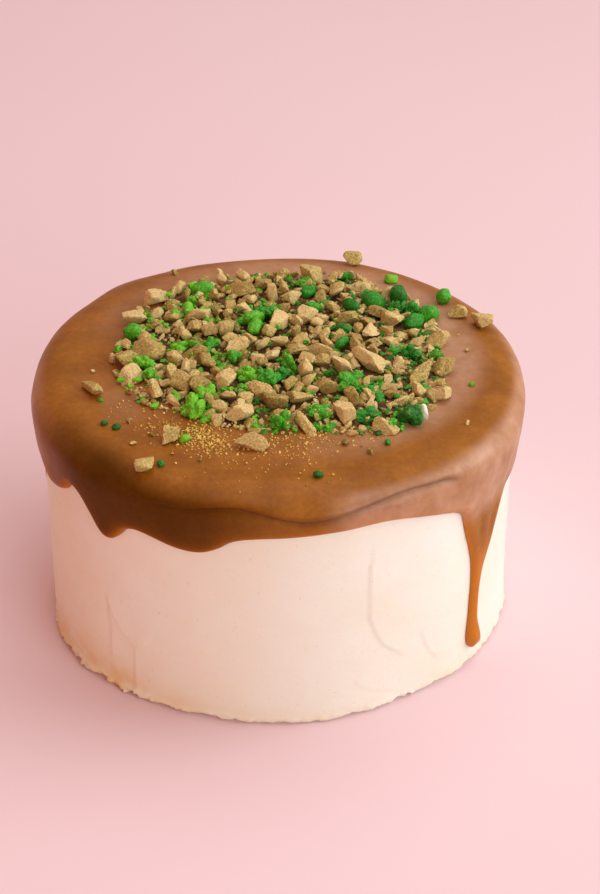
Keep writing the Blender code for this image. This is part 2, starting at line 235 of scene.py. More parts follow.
caramelFinish = {
    "body": ("#844F0C", "#985F12", "#AB6E1D"),
    "mottle": "#6B3D08",
    # painted sheen: the soft reflection of the bright room on the satin glaze
    "bloom": "#C09676",
    # painted shade away from the light and in the crease, over a darker tone where the glaze pooled deep
    "deep": "#3C2204",
    "thin": "#CC7C22",
    "roughness": (0.40, 0.54),
    # sizes in mm
    "cloud": 14,
    "mottleSize": 1.6,
    "sheenPatch": 9,
    "satinPatch": 6,
    "pore": 0.8,
    "ripple": 3.4,
}


def pouredCaramel():
    # caramel and milk chocolate poured warm: satin, with painted sheen where it faces the light,
    # painted shade on the side away from it and in the crease over a darker tone where it pooled deep, and
    # orange where it is thin
    s = caramelFinish
    made, tree, shader = newMaterial("caramel glaze, poured")
    where = addNode(tree, "ShaderNodeTexCoord").outputs["Object"]
    thin, bloom, deep = (attributeOf(tree, name) for name in ("thin", "bloom", "deep"))
    cloud = noiseOf(tree, where, s["cloud"], 4.0, 0.6)
    body = rampOf(tree, cloud, *zip((0.25, 0.5, 0.75), s["body"]))
    fine = noiseOf(tree, where, s["mottleSize"], 3.0, 0.6)
    mottled = mixed(tree, spread(tree, fine, 0.35, 0.7, 0.0, 0.35), body, linearColour(s["mottle"]))
    patches = spread(tree, noiseOf(tree, where, s["sheenPatch"], 5.0, 0.65), 0.34, 0.68, 0.3, 0.8)
    # painted sheen in patches round the heap and on the side that faces the light
    withPaintedSheen = mixed(tree, product(tree, bloom, patches), mottled, linearColour(s["bloom"]))
    # painted shade on the side away from the light and in the crease, partly darker pooled glaze
    deepenedAndShaded = mixed(tree, deep, withPaintedSheen, linearColour(s["deep"]))
    thinned = mixed(tree, thin, deepenedAndShaded, linearColour(s["thin"]))
    tree.links.new(thinned, shader.inputs["Base Color"])
    satin = spread(tree, noiseOf(tree, where, s["satinPatch"], 4.0), 0.3, 0.7, *s["roughness"])
    tree.links.new(satin, shader.inputs["Roughness"])
    sheen = product(tree, spread(tree, bloom, 0.0, 0.7, 0.2, 0.6), spread(tree, deep, 0.0, 0.8, 1.0, 0.2))
    tree.links.new(sheen, shader.inputs["Specular IOR Level"])
    shader.inputs["Subsurface Weight"].default_value = 0.12
    shader.inputs["Subsurface Radius"].default_value = (1.0, 0.35, 0.08)
    shader.inputs["Subsurface Scale"].default_value = 0.002
    pores = addNode(tree, "ShaderNodeBump", {
        "Height": noiseOf(tree, where, s["pore"], 2.0, 0.6), "Strength": 0.16, "Distance": 0.0003,
    })
    ripples = addNode(tree, "ShaderNodeBump", {
        "Height": noiseOf(tree, where, s["ripple"], 3.0), "Strength": 0.12, "Distance": 0.0008,
        "Normal": pores.outputs["Normal"],
    })
    tree.links.new(ripples.outputs["Normal"], shader.inputs["Normal"])
    return made


def choppedPiece(name, dark, middle, light, edgeHighlightHex, roughness, grainMm, strength):
    # dry chopped pieces: matte, porous, with painted highlight along edges and raised bumps, each a little
    # different in tone
    made, tree, shader = newMaterial(name)
    where = addNode(tree, "ShaderNodeTexCoord").outputs["Object"]
    tint, edge = attributeOf(tree, "tint"), attributeOf(tree, "edge")
    grain = noiseOf(tree, where, grainMm, 3.0, 0.7)
    tone = addNode(tree, "ShaderNodeMath", {
        0: tint, 1: spread(tree, grain, 0.32, 0.68, -0.38, 0.38),
    }, operation="ADD", use_clamp=True).outputs[0]
    body = rampOf(tree, tone, (0.0, dark), (0.5, middle), (0.95, light))
    pits = spread(tree, noiseOf(tree, where, grainMm * 0.6, 1.0), 0.6, 0.72, 0.0, 0.55)
    pitted = mixed(tree, pits, body, linearColour(dark))
    # painted highlight: paler along edges and on raised bumps
    highlightedEdges = mixed(tree, spread(tree, edge, 0.35, 0.85, 0.0, 0.6), pitted, linearColour(edgeHighlightHex))
    tree.links.new(highlightedEdges, shader.inputs["Base Color"])
    shader.inputs["Roughness"].default_value = roughness
    bump = addNode(tree, "ShaderNodeBump", {"Height": grain, "Strength": strength, "Distance": 0.0004})
    tree.links.new(bump.outputs["Normal"], shader.inputs["Normal"])
    return made


toppingFinishes = (
    # name, dark, middle, light and painted edge highlight, roughness, grain in mm and strength of its relief
    ("biscuit, baked and chopped", "#7C6824", "#BFA860", "#E2CC90", "#EAD9A2", 0.9, 0.7, 0.8),
    # dark as painted shade in the gaps between the pieces, over crushed crumbs
    ("crushed biscuit, darkened as painted shade", "#382208", "#563A14", "#80602A", "#80602A", 0.85, 0.9, 0.6),
    ("sugar crumble, coloured green", "#055008", "#1C9810", "#76CA1A", "#A2DC5C", 0.6, 0.6, 0.55),
    ("golden sugar crumbs", "#94701A", "#D2A832", "#EFD062", "#F7DE8A", 0.5, 0.5, 0.3),
    ("pale sugar shard", "#A9C29A", "#D3E2C6", "#EEF4E4", "#F6F9F0", 0.4, 0.8, 0.2),
)


def floorPaper():
    # smooth matt card: plain, pale and without gloss
    made, tree, shader = newMaterial("matt card")
    where = addNode(tree, "ShaderNodeTexCoord").outputs["Object"]
    tone = noiseOf(tree, where, 300, 1.0)
    tree.links.new(rampOf(tree, tone, (0.3, "#EAD3DA"), (0.7, "#ECD6DD")), shader.inputs["Base Color"])
    shader.inputs["Roughness"].default_value = 0.9
    return made


def buildFloor():
    floor = bmesh.new()
    bmesh.ops.create_grid(floor, x_segments=8, y_segments=8, size=6)
    mesh = bpy.data.meshes.new("floor")
    floor.to_mesh(mesh)
    floor.free()
    mesh.materials.append(floorPaper())
    card = bpy.data.objects.new("floor", mesh)
    bpy.context.scene.collection.objects.link(card)


# Forms that the pieces share, the same as in the solids, in mm

cakeForm = {
    "radius": 80.0,
    "height": 84.5,
    "edge": 6.0,
    "swellFade": 45.0,
    # azimuth, height and width of each swell of the base
    "baseSwells": ((-58, 1.7, 16), (32, -1.6, 13), (150, 1.1, 30), (-130, -0.8, 25)),
    "sideWaves": ((3, 0.35, 20), (7, 0.2, 65)),  # waves round the cake, height and start
}

glazeForm = {
    "top": 90.6,
    "radius": 84.4,
    "widest": 83.0,
    "run": 14.0,
    "lip": 1.9,
    "rimSwells": ((-142, 2.0, 30), (-138, 2.4, 8), (-92, -1.6, 18), (62, 0.6, 12), (90, -1.4, 20),
                  (155, 1.9, 20), (178, -1.0, 14)),
    "beadWidth": 2.5,  # how far in from its edge the glaze reaches full thickness
    "sideFade": 24.0,  # height over which it thins from the rim to the lip
    "columnSpacing": 1.2,
    # azimuth, place on the section and depth of the crease under the upper roll
    "crease": ((-34, 1.93, 0.0), (-24, 1.86, 0.5), (-9, 1.68, 1.3), (7, 2.0, 1.5), (30, 1.66, 1.4),
               (38, 1.72, 1.1), (46, 1.9, 0.0), (150, 1.7, 0.0), (172, 1.78, 1.2), (196, 1.95, 1.3),
               (215, 1.85, 0.0)),
    "creaseWidth": 0.09,
    "creaseFade": 0.6,
}

# Lower edge of the glaze: a knot for each lobe, bay and turn, as azimuth and height
edgeKnots = (
    (-80, 69.0), (-72, 67.6), (-65, 65.5), (-61.4, 66.0), (-58.6, 67.7), (-56.6, 70.3), (-54.8, 73.2),
    (-52.6, 74.1), (-50.3, 72.8), (-48.2, 68.6), (-45.8, 63.8), (-43.5, 61.1), (-41.2, 60.9), (-38.8, 63.4),
    (-36.3, 67.3), (-33.6, 68.9), (-30.5, 68.8), (-24, 67.0), (-20, 66.6), (-16.5, 67.2), (-12.9, 69.6),
    (-9.2, 73.2), (-4.5, 74.7),
    (2, 75.3), (14, 76.2), (25, 76.7), (36, 73.0), (43.5, 69.4), (66.0, 60.3),
    (71, 63.2), (77, 62.5), (84, 66.0), (95, 55.5), (107, 70.5), (121, 57.0), (134, 67.5),
    (163, 69.0), (176, 61.5), (188, 71.5), (203, 54.0), (218, 66.5), (231, 58.0), (246, 70.0), (272, 67.5),
)
# Long drips, each down its left side to the tip and up again, by the knot after which it hangs
longDrips = {
    43.5: ((46.4, 67.2), (47.5, 64.8), (49.1, 57.2), (50.6, 51), (51.8, 44.8), (52.4, 36.8), (52.3, 28),
           (52.0, 18), (51.8, 12.4), (52.4, 9.2), (53.7, 7.0), (55.3, 6.0), (56.7, 7.5), (57.0, 10.2),
           (56.5, 14), (55.6, 19.5), (55.4, 26), (55.7, 32.5), (56.8, 39), (60.2, 47), (62.9, 54)),
    134: ((139.5, 63), (143, 53), (145.4, 42), (145.8, 34), (145.2, 27.5), (146.1, 24), (147.7, 22.8),
          (149.5, 24.2), (150.3, 27.6), (149.7, 34), (150.4, 42), (152.6, 51), (156, 61)),
    246: ((254, 64), (257.8, 54), (259.7, 46), (259.5, 40.5), (260.5, 37.2), (262.2, 36.1), (264.0, 37.3),
          (264.8, 40.8), (264.7, 46), (266.3, 54), (269.0, 62)),
}
# Where a drip ends in a bead: azimuth, height, extra thickness and reach
dripBeads = ((54.1, 11.0, 1.0, 4.5), (147.7, 26.5, 0.9, 4.5), (262.2, 39.8, 0.9, 4.5), (-42, 63.5, 0.5, 5),
             (-65, 67.5, 0.4, 6), (-19, 69.5, 0.3, 9), (95, 58.5, 0.5, 6), (121, 60, 0.5, 6),
             (203, 57, 0.5, 6), (231, 61, 0.5, 6))

heapForm = {
    "centre": (0.0, 6.0),
    "turns": ((-169, 59), (-143, 61), (-110, 56), (-76, 56), (-57, 56), (-40, 51), (-16, 50), (10, 52),
              (41, 63), (68, 60), (94, 56), (125, 58), (161, 63), (176, 58)),
    "coreShare": 0.9,
    "rim": 0.8,
    "middle": 3.4,
    "bump": 0.5,
    "bumpRuns": (3.1, 3.7),
    "fillCount": 134,
    "fillSizes": (5.0, 9.4),
    "fillShapes": (0.6, 0.95),
    "fillSpacing": 0.77,
    "fillShare": 0.94,
    "mostDraws": 6000,
    "barePatch": (-45.0, -17.0),
    "bareRadius": 6.0,
    "bigRise": 0.22,
    "fillRise": 0.2,
    "strayRise": 0.42,
    "placeSeed": 11,
}

# The biggest pieces of the heap: x, y, length, width, height, turn
biscuitPlaces = (
    (-44, 3, 13, 8, 7, -40), (30, -5, 13, 9, 7, -15), (-14, 45, 13, 6, 6, -8), (12, 57, 9, 8, 8, 30),
    (-44, 42, 9, 8, 7, 70), (-12, -36, 11, 8, 7, 25), (-1, -30, 11, 7, 6, -20), (8, -27, 10, 6, 5, 35),
    (-32, -18, 8, 8, 8, 0), (-17, -19, 9, 7, 7, 60), (22, -37, 10, 8, 8, -60), (35, -44, 9, 6, 6, 30),
    (53, -23, 8, 8, 5, 0), (48, -11, 14, 5, 5, 42), (55, -6, 8, 7, 7, 80), (54, 13, 9, 8, 6, 10),
    (9, -43, 11, 5, 5, -68), (20, 47, 10, 6, 7, 60), (-51, -2, 8, 7, 7, 0), (-49, -12, 9, 6, 6, 40),
    (-50, 27, 8, 7, 7, 20),
)
greenPlaces = (
    (33, 38, 9, 7, 7, -50), (42, 42, 9, 6, 8, -75), (1, -42, 7.4, 7.4, 8, 0), (29, -38, 10, 6, 6, 15),
    (43, -38, 10, 8, 7, -30), (-27, -33, 9, 8, 9, 80), (-50, 17, 7, 6, 7, 0), (24, -19, 11, 9, 6, 20),
    (52, 30, 8, 7, 7, 0), (47, 25, 9, 6, 6, 50), (-10, -14, 8, 6, 6, 0),
)
strayPlaces = {
    "chunk_far_rim": (27, 74, 7, 6, 5.5, 20),
    "chunk_right": (62.5, 33, 7, 6, 5, 0),
    "chunk_right_rim": (70, 26, 9, 7, 6.5, -30),
    "pellet_right": (58, 43, 5.5, 5.5, 6, 0),
    "shard_left": (-61, -20, 12, 4.5, 5, -55),
    "chunk_front_left": (-41, -65, 7.5, 5.2, 4.6, 25),
    "chunk_front": (-34.5, -49.5, 7.2, 6.6, 6.5, 55),
    "lens_front": (-8, -53, 11, 6.6, 5, 8),
}


def eased(share):
    share = np.clip(share, 0.0, 1.0)
    return share * share * (3 - 2 * share)


def aroundTheCake(stations, azimuth, column=1):
    # eases from one station to the next, and past the last to the first
    azimuth = np.asarray(azimuth, float)
    first = stations[0][0]
    wrapped = first + (azimuth - first) % 360
    turns = np.array([station[0] for station in stations] + [first + 360])
    values = np.array([station[column] for station in stations] + [stations[0][column]], float)
    index = np.clip(np.searchsorted(turns, wrapped, side="right") - 1, 0, len(stations) - 1)
    share = eased((wrapped - turns[index]) / (turns[index + 1] - turns[index]))
    return values[index] + (values[index + 1] - values[index]) * share


def swelling(swells, azimuth):
    total = np.zeros_like(np.asarray(azimuth, float))
    for centre, height, width in swells:
        away = (azimuth - centre + 180) % 360 - 180
        total = total + height * np.exp(-((away / width) ** 2))
    return total


def cakeRadius(azimuth, z):
    baseShare = 1 - eased(z / cakeForm["swellFade"])
    waves = sum(
        height * np.sin((count * azimuth + start) * degree) for count, height, start in cakeForm["sideWaves"]
    )
    upShare = np.sin(np.pi * np.clip(z / cakeForm["height"], 0, 1))
    return cakeForm["radius"] + baseShare * swelling(cakeForm["baseSwells"], azimuth) + waves * upShare


def azimuthOf(x, y):
    return np.degrees(np.arctan2(x, -np.asarray(y)))


def glazeSurface(x, y):
    rim = glazeForm["radius"] + swelling(glazeForm["rimSwells"], azimuthOf(x, y))
    beyond = np.clip((np.hypot(x, y) - (rim - glazeForm["run"])) / glazeForm["run"], 0.0, 1.0)
    drop = glazeForm["top"] - glazeForm["widest"]
    return glazeForm["widest"] + drop * np.sqrt(1 - beyond * beyond)


def heapRadius(azimuth):
    return aroundTheCake(heapForm["turns"], azimuth)


def coreHeight(x, y):
    x, y = np.asarray(x, float), np.asarray(y, float)
    ownX, ownY = x - heapForm["centre"][0], y - heapForm["centre"][1]
    share = np.hypot(ownX, ownY) / (heapRadius(azimuthOf(ownX, ownY)) * heapForm["coreShare"])
    share = np.minimum(share, 1.0)
    runX, runY = heapForm["bumpRuns"]
    bumps = np.sin(x / runX) * np.sin(y / runY + 1) * heapForm["bump"]
    return heapForm["rim"] + (heapForm["middle"] - heapForm["rim"]) * (1 - share**2) + bumps * (1 - share)


# Mesh helpers

def spunGrid(section, columns):
    # a half section spun round, each vertex keeping the number of its ring
    grid = bmesh.new()
    ringLayer = grid.verts.layers.int.new("ring")
    points = []
    for number, (radius, z) in enumerate(section):
        point = grid.verts.new((0, -radius, z))
        point[ringLayer] = number
        points.append(point)
    for start, end in zip(points, points[1:]):
        grid.edges.new((start, end))
    bmesh.ops.spin(grid, geom=grid.verts[:] + grid.edges[:], axis=(0, 0, 1), cent=(0, 0, 0), angle=math.tau,
                   steps=columns, use_merge=True, use_duplicate=False)
    bmesh.ops.remove_doubles(grid, verts=grid.verts, dist=1e-4)
    bmesh.ops.recalc_face_normals(grid, faces=grid.faces)
    mesh = bpy.data.meshes.new("grid")
    grid.to_mesh(mesh)
    grid.free()
    mesh.shade_smooth()
    places = readPlaces(mesh)
    rings = np.zeros(len(mesh.vertices), np.int32)
    mesh.attributes["ring"].data.foreach_get("value", rings)
    mesh.attributes.remove(mesh.attributes["ring"])
    number = np.round(azimuthOf(places[:, 0], places[:, 1]) / 360 * columns).astype(int) % columns
    return mesh, rings, number


def roundTheAxis(radius, azimuth, z):
    return np.stack([radius * np.sin(azimuth * degree), -radius * np.cos(azimuth * degree), z], axis=1)


def readPlaces(mesh):
    places = np.zeros(len(mesh.vertices) * 3, np.float32)
    mesh.vertices.foreach_get("co", places)
    return places.reshape(-1, 3).astype(float)


def writePlaces(mesh, places):
    mesh.vertices.foreach_set("co", (places * millimetre).astype(np.float32).reshape(-1))
    mesh.update()


def addShares(mesh, name, values):
    layer = mesh.attributes.new(name, "FLOAT", "POINT")
    layer.data.foreach_set("value", np.asarray(values, np.float32))


def addPiece(name, mesh, finish, slotName, *nodes):
    mesh.name = name
    mesh.materials.append(finish)
    piece = bpy.data.objects.new(name, mesh)
    bpy.context.scene.collection.objects.link(piece)
    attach(piece, "root")
    if nodes:
        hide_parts(*nodes)
    print(name, len(mesh.polygons), "faces")
    return piece


def noiseAt(places, sizeMm, seed=0.0):
    shift = Vector((seed * 17.3, seed * 5.1, seed * 9.7))
    return np.array([noise.noise(Vector(place) / sizeMm + shift) for place in places])


def distanceToPath(azimuth, z, path):
    # distance in mm, on the cake's unrolled side, to a path of azimuths and heights, and the side of it
    unroll = cakeForm["radius"] * degree
    points = np.array(path, float) * (unroll, 1.0)
    wheres = np.stack([np.asarray(azimuth) * unroll, np.asarray(z)], axis=1)
    tree = KDTree(len(points))
    for number, (x, y) in enumerate(points):
        tree.insert((x, y, 0), number)
    tree.balance()
    nearest = np.array([tree.find((x, y, 0))[1] for x, y in wheres])
    best = np.full(len(wheres), np.inf)
    sides = np.zeros(len(wheres))
    for step in (-1, 0):
        start, end = nearest + step, nearest + step + 1
        start, end = np.clip(start, 0, len(points) - 2), np.clip(end, 1, len(points) - 1)
        run = points[end] - points[start]
        offset = wheres - points[start]
        length = np.maximum((run**2).sum(1), 1e-9)
        share = np.clip((offset * run).sum(1) / length, 0, 1)
        gap = offset - run * share[:, None]
        distance = np.hypot(gap[:, 0], gap[:, 1])
        nearer = distance < best
        best = np.where(nearer, distance, best)
        sides = np.where(nearer, np.sign(run[:, 0] * offset[:, 1] - run[:, 1] * offset[:, 0]), sides)
    return best, sides


def smoothPath(knots, steps, closed=False):
    # centripetal spline through the knots, which doesn't overshoot where they stand close together
    unroll = cakeForm["radius"] * degree
    points = [np.array((azimuth * unroll, z)) for azimuth, z in knots]
    if closed:
        turn = np.array((360 * unroll, 0))
        points = [points[-1] - turn, *points, points[0] + turn, points[1] + turn]
    else:
        points = [2 * points[0] - points[1], *points, 2 * points[-1] - points[-2]]
    path = []
    for a, b, c, d in zip(points, points[1:], points[2:], points[3:]):
        gaps = [max(np.linalg.norm(end - start), 1e-6) ** 0.5 for start, end in ((a, b), (b, c), (c, d))]
        times = np.cumsum([0.0] + gaps)
        for t in times[1] + (times[2] - times[1]) * np.arange(steps) / steps:
            ab = (a * (times[1] - t) + b * (t - times[0])) / (times[1] - times[0])
            bc = (b * (times[2] - t) + c * (t - times[1])) / (times[2] - times[1])
            cd = (c * (times[3] - t) + d * (t - times[2])) / (times[3] - times[2])
            abc = (ab * (times[2] - t) + bc * (t - times[0])) / (times[2] - times[0])
            bcd = (bc * (times[3] - t) + cd * (t - times[1])) / (times[3] - times[1])
            path.append((abc * (times[2] - t) + bcd * (t - times[1])) / (times[2] - times[1]))
    if not closed:
        path.append(points[-2])
    return np.array(path) / (unroll, 1.0)


# Buttercream

creamSettings = {
    "columns": 640,
    "rings": 100,
    "wipeHeight": 0.13,
    "ridgeShare": 0.6,
    "lapScale": 0.85,
    "raggedSeed": 3,
    # knots of each lap that the knife left, with its height and width in mm: it rises to the path's left
    "laps": (
        (((-44.5, 33), (-43.8, 27), (-43.6, 20), (-43.8, 14)), 0.30, 0.7),
        (((-45, 40), (-43, 30), (-39, 23), (-36, 21), (-33, 23), (-31, 28)), 0.20, 1.0),
        (((-36, 21), (-36.2, 12), (-36.0, 3)), 0.22, 1.2),
        (((22.5, 68), (21.5, 52), (22, 38), (25, 28), (28.5, 23)), 0.34, 1.0),
        (((36.5, 25), (38.5, 18), (40.5, 14)), 0.26, 0.8),
        (((18.5, 14), (22, 9.5), (26, 7)), 0.16, 0.8),
        (((-8, 60), (-2, 57), (6, 58)), 0.10, 1.6),
        (((80, 60), (83, 40), (88, 24), (96, 15)), 0.32, 1.0),
        (((112, 50), (110, 34), (113, 20)), 0.26, 0.9),
        (((165, 55), (170, 42), (168, 28), (161, 18)), 0.32, 1.0),
        (((190, 40), (197, 24), (208, 16), (220, 18)), 0.24, 1.1),
        (((232, 48), (230, 30), (234, 14)), 0.30, 0.9),
        (((285, 52), (283, 38), (286, 24), (292, 15)), 0.26, 1.0),
    ),
    # azimuth, height, width and depth of each small pit
    "pits": ((40.5, 60, 0.9, 0.5), (-26, 54, 1.4, 0.35), (-49, 61, 0.6, 0.4), (-47.5, 57, 0.5, 0.3),
             (70, 35, 1.0, 0.4), (128, 44, 1.1, 0.4), (182, 30, 1.0, 0.4), (215, 47, 1.2, 0.4),
             (248, 22, 1.0, 0.4)),
    # azimuth, width in degrees and height in mm of each notch in the lower edge
    "notches": ((-61, 2.4, 1.4), (-55.5, 1.6, 1.5), (-46, 2.2, 1.6), (-36, 1.3, 1.1), (-28, 2.0, 0.9),
                (-17, 1.4, 0.8), (-9, 1.8, 0.9), (18, 1.5, 0.9), (31, 1.6, 1.2), (33.5, 0.8, 1.5),
                (42, 1.6, 1.3), (52, 1.8, 1.2), (75, 2.0, 1.1), (101, 1.4, 1.3), (126, 2.6, 1.0),
                (158, 1.6, 1.4), (185, 2.2, 1.1), (222, 1.8, 1.3), (251, 2.4, 1.2), (280, 1.6, 1.3)),
    "lowCrease": ((-60, 9.5), (-55, 6.8), (-50.5, 6.2)),  # azimuth and height
    "lowCreaseDepth": 0.35,
    "footReach": 3.2,  # mm up to which the ragged foot reaches
}


def lapRelief(azimuth, z):
    # each lap of the knife is a ridge with a step beside it that fades out
    s = creamSettings
    relief = np.zeros(len(z))
    for knots, lapHeight, width in s["laps"]:
        path = smoothPath(knots, 14)
        near = np.abs(azimuth - path[:, 0].mean()) < np.ptp(path[:, 0]) / 2 + 16
        distance, sides = distanceToPath(azimuth[near], z[near], path)
        ends = eased(1.2 - np.abs(2 * (z[near] - path[:, 1].mean()) / (np.ptp(path[:, 1]) + 8)) ** 3)
        ridge = np.exp(-((distance / (width * 0.6)) ** 2)) * 0.6
        lap = np.where(sides > 0, np.exp(-distance / (width * 7)), -0.5 * np.exp(-distance / (width * 3)))
        relief[near] += lapHeight * s["lapScale"] * (ridge * s["ridgeShare"] + lap) * ends
    return relief


def pitRelief(azimuth, z):
    relief = np.zeros(len(z))
    for centre, pitHeight, width, depth in creamSettings["pits"]:
        near = (np.abs(azimuth - centre) < 4) & (np.abs(z - pitHeight) < 5)
        away = np.hypot((azimuth[near] - centre) * cakeForm["radius"] * degree, z[near] - pitHeight)
        relief[near] -= depth * np.exp(-((away / (width * 0.55)) ** 2))
    return relief


def footForm(azimuth, places, sink):
    # the ragged fringe of the lower edge, which stands just off the plate: its lift and its crumbly relief
    s = creamSettings
    draw = random.Random(s["raggedSeed"])
    steps, turn = [], -75.0
    while turn < 285:
        steps.append((turn, draw.random() ** 2))
        turn += draw.uniform(0.5, 3.2)
    step = np.searchsorted([start for start, _ in steps], azimuth, side="right") - 1
    leftward = np.exp(-(((azimuth + 50) / 30) ** 2))
    ragged = np.array([high for _, high in steps])[step] + np.abs(noiseAt(places, 2.0, 5)) * 0.6
    lift = ragged * (0.6 + 0.5 * leftward)
    for centre, width, notchHeight in s["notches"]:
        lift += notchHeight * np.clip(1.15 - np.abs(azimuth - centre) / width, 0, 1) ** 0.7 * 0.7
    crumbly = noiseAt(places, 4.0, 6) * 0.6 + 0.5 * leftward
    crumbly += np.abs(noiseAt(places, 1.7, 14)) * (0.9 + 1.4 * leftward)
    return lift * sink, crumbly * eased(sink * 1.6)


def buildButtercream():
    s = creamSettings
    radius, height, edge = (cakeForm[key] for key in ("radius", "height", "edge"))
    foot = [(0, 0), (60, 0), (radius - 3, 0), (radius - 1.8, 0), (radius - 1.3, 0.3), (radius - 0.6, 0.35),
            (radius - 0.15, 0.6)]
    rise = height - edge - 1.0
    side = [(radius, 1.0 + rise * (n / s["rings"]) ** 1.08) for n in range(s["rings"] + 1)]
    corner = [(radius - edge + edge * math.cos(turn), height - edge + edge * math.sin(turn))
              for turn in (0.4, 0.8, 1.2, math.pi / 2)]
    section = foot + side + corner + [(40, height), (0, height)]
    mesh, rings, numbers = spunGrid(section, s["columns"])
    section = np.array(section)
    azimuth = (numbers / s["columns"] * 360.0 + 180) % 360 - 180
    wraps = np.where(azimuth < -75, azimuth + 360, azimuth)
    z = section[rings, 1]
    form = section[rings, 0] * cakeRadius(azimuth, z) / radius
    onSide = (section[rings, 0] > radius - 0.01) & (z < height - edge + 0.01)
    low = (rings >= 4) & (rings < len(foot) + 8)
    lowOutside = section[rings[low], 0] > radius - 1

    relief = np.zeros(len(z))
    relief[onSide] += lapRelief(wraps[onSide], z[onSide])
    relief[onSide] += pitRelief(wraps[onSide], z[onSide])
    near = onSide & (np.abs(wraps + 55) < 9) & (z < 14)
    distance, _ = distanceToPath(wraps[near], z[near], smoothPath(s["lowCrease"], 12))
    relief[near] -= s["lowCreaseDepth"] * np.exp(-((distance / 0.6) ** 2))

    places = roundTheAxis(radius, azimuth, z)
    stretched = places * (1, 1, 3.5)
    wipes = noiseAt(stretched[onSide], 16, 1) + 0.5 * noiseAt(stretched[onSide], 6, 2)
    relief[onSide] += s["wipeHeight"] * wipes + 0.10 * noiseAt(places[onSide], 22, 3)
    sink = np.clip(1 - (z[low] - 0.3) / s["footReach"], 0, 1)
    lift, crumbly = footForm(wraps[low], places[low], sink)
    z[low] += lift
    relief[low] += crumbly * lowOutside

    writePlaces(mesh, roundTheAxis(form + relief, azimuth, z))
    # butter tone low down, strongest on the left; the share over the whole height of the left side is painted
    # shade tint
    leftward = np.exp(-(((wraps + 55) / 30) ** 2))
    butter = eased(1 - z / (7 + 13 * leftward)) * (0.3 + 0.65 * leftward) + 0.14 * leftward
    addShares(mesh, "butter", np.clip(butter, 0, 1))
    return addPiece("buttercream", mesh, whippedButtercream(), "buttercream", "cake")


# Glaze

glazeSettings = {
    "topRings": (0, 20, 36, 44, 48, 51, 53.5),  # mm from the middle, then every topStep out to the shoulder
    "topStep": 1.2,
    "shoulderRings": 18,
    "beadRings": (0.0, 0.1, 0.3, 0.65, 1.15, 1.8, 2.7),  # mm in from the edge
    "sideRings": 26,
    "wallRings": 16,  # up the inner wall, enough to follow a drip's sides
    "swellHeight": 0.22,
    "wrinkleHeight": 0.05,
    "pleatHeight": 0.2,
    "pleatTurns": (44, 76, 4.1),  # from, to and half the width of a pleat, in degrees
    # azimuth and strength: the painted sheen round the heap, and the painted sheen on the side
    "bloomAndSheenTurns": ((-125, 0.3), (-95, 0.0), (-62, 0.25), (-42, 0.05), (5, 0.15), (30, 0.6), (60, 1.05),
                   (120, 1.0), (170, 1.15)),
    "sideBloomAndSheenTurns": ((-115, 0.15), (-84, 0.75), (-58, 0.15), (-46, 0.0), (8, 0.02), (20, 1.0), (58, 1.15),
                       (85, 1.05), (110, 0.4), (180, 0.4)),
    "thinReach": 1.6,
    "thinHeight": 58,  # lower than this on a drip the glaze is thin all over
    "deepAndShadeStretch": (-33, 30, 0.8),  # azimuth, width and strength of the stretch darkened as painted shade, over glaze that pooled deep
    "creaseShade": 0.5,
    "settle": 3.5,  # mm over which a column moves in from a long drip's side
}


def glazeOutline():
    # the lower edge as columns a fixed distance apart: its path, the height of each column's end,
    # the azimuth at which each column starts, and the sides of each long drip
    knots, anchors, drips = [], [], []
    ends = [*edgeKnots[1:], (edgeKnots[0][0] + 360, edgeKnots[0][1])]
    for knot, after in zip(edgeKnots, ends):
        anchors.append((len(knots), knot[0]))
        knots.append(knot)
        hanging = longDrips.get(knot[0], ())
        if hanging:
            tip = len(knots) + int(np.argmin([point[1] for point in hanging]))
            anchors.append((tip, (knot[0] + after[0]) / 2))
            drips.append((len(knots) - 1, tip, len(knots) + len(hanging), knot[0], after[0]))
            knots.extend(hanging)
    steps = 40
    path = smoothPath(knots, steps, closed=True)
    unrolled = path * (cakeForm["radius"] * degree, 1.0)
    closedPath = np.vstack([unrolled, unrolled[0] + (360 * cakeForm["radius"] * degree, 0)])
    arcs = np.concatenate([[0], np.cumsum(np.linalg.norm(np.diff(closedPath, axis=0), axis=1))])
    count = int(arcs[-1] / glazeForm["columnSpacing"])
    wanted = arcs[-1] * np.arange(count) / count
    height = np.interp(wanted, arcs, closedPath[:, 1])
    anchorArcs = [arcs[index * steps] for index, _ in anchors] + [arcs[-1]]
    anchorRoots = [root for _, root in anchors] + [anchors[0][1] + 360]
    roots = np.interp(wanted, anchorArcs, anchorRoots)
    flanks = []
    for start, tip, end, startRoot, endRoot in drips:
        left, right = path[start * steps:tip * steps + 1], path[tip * steps:end * steps + 1]
        leftward = (wanted > arcs[start * steps]) & (wanted <= arcs[tip * steps])
        rightward = (wanted > arcs[tip * steps]) & (wanted < arcs[end * steps])
        flanks.append((left[::-1], right, leftward, rightward, startRoot, endRoot))
    return path, height, roots, flanks


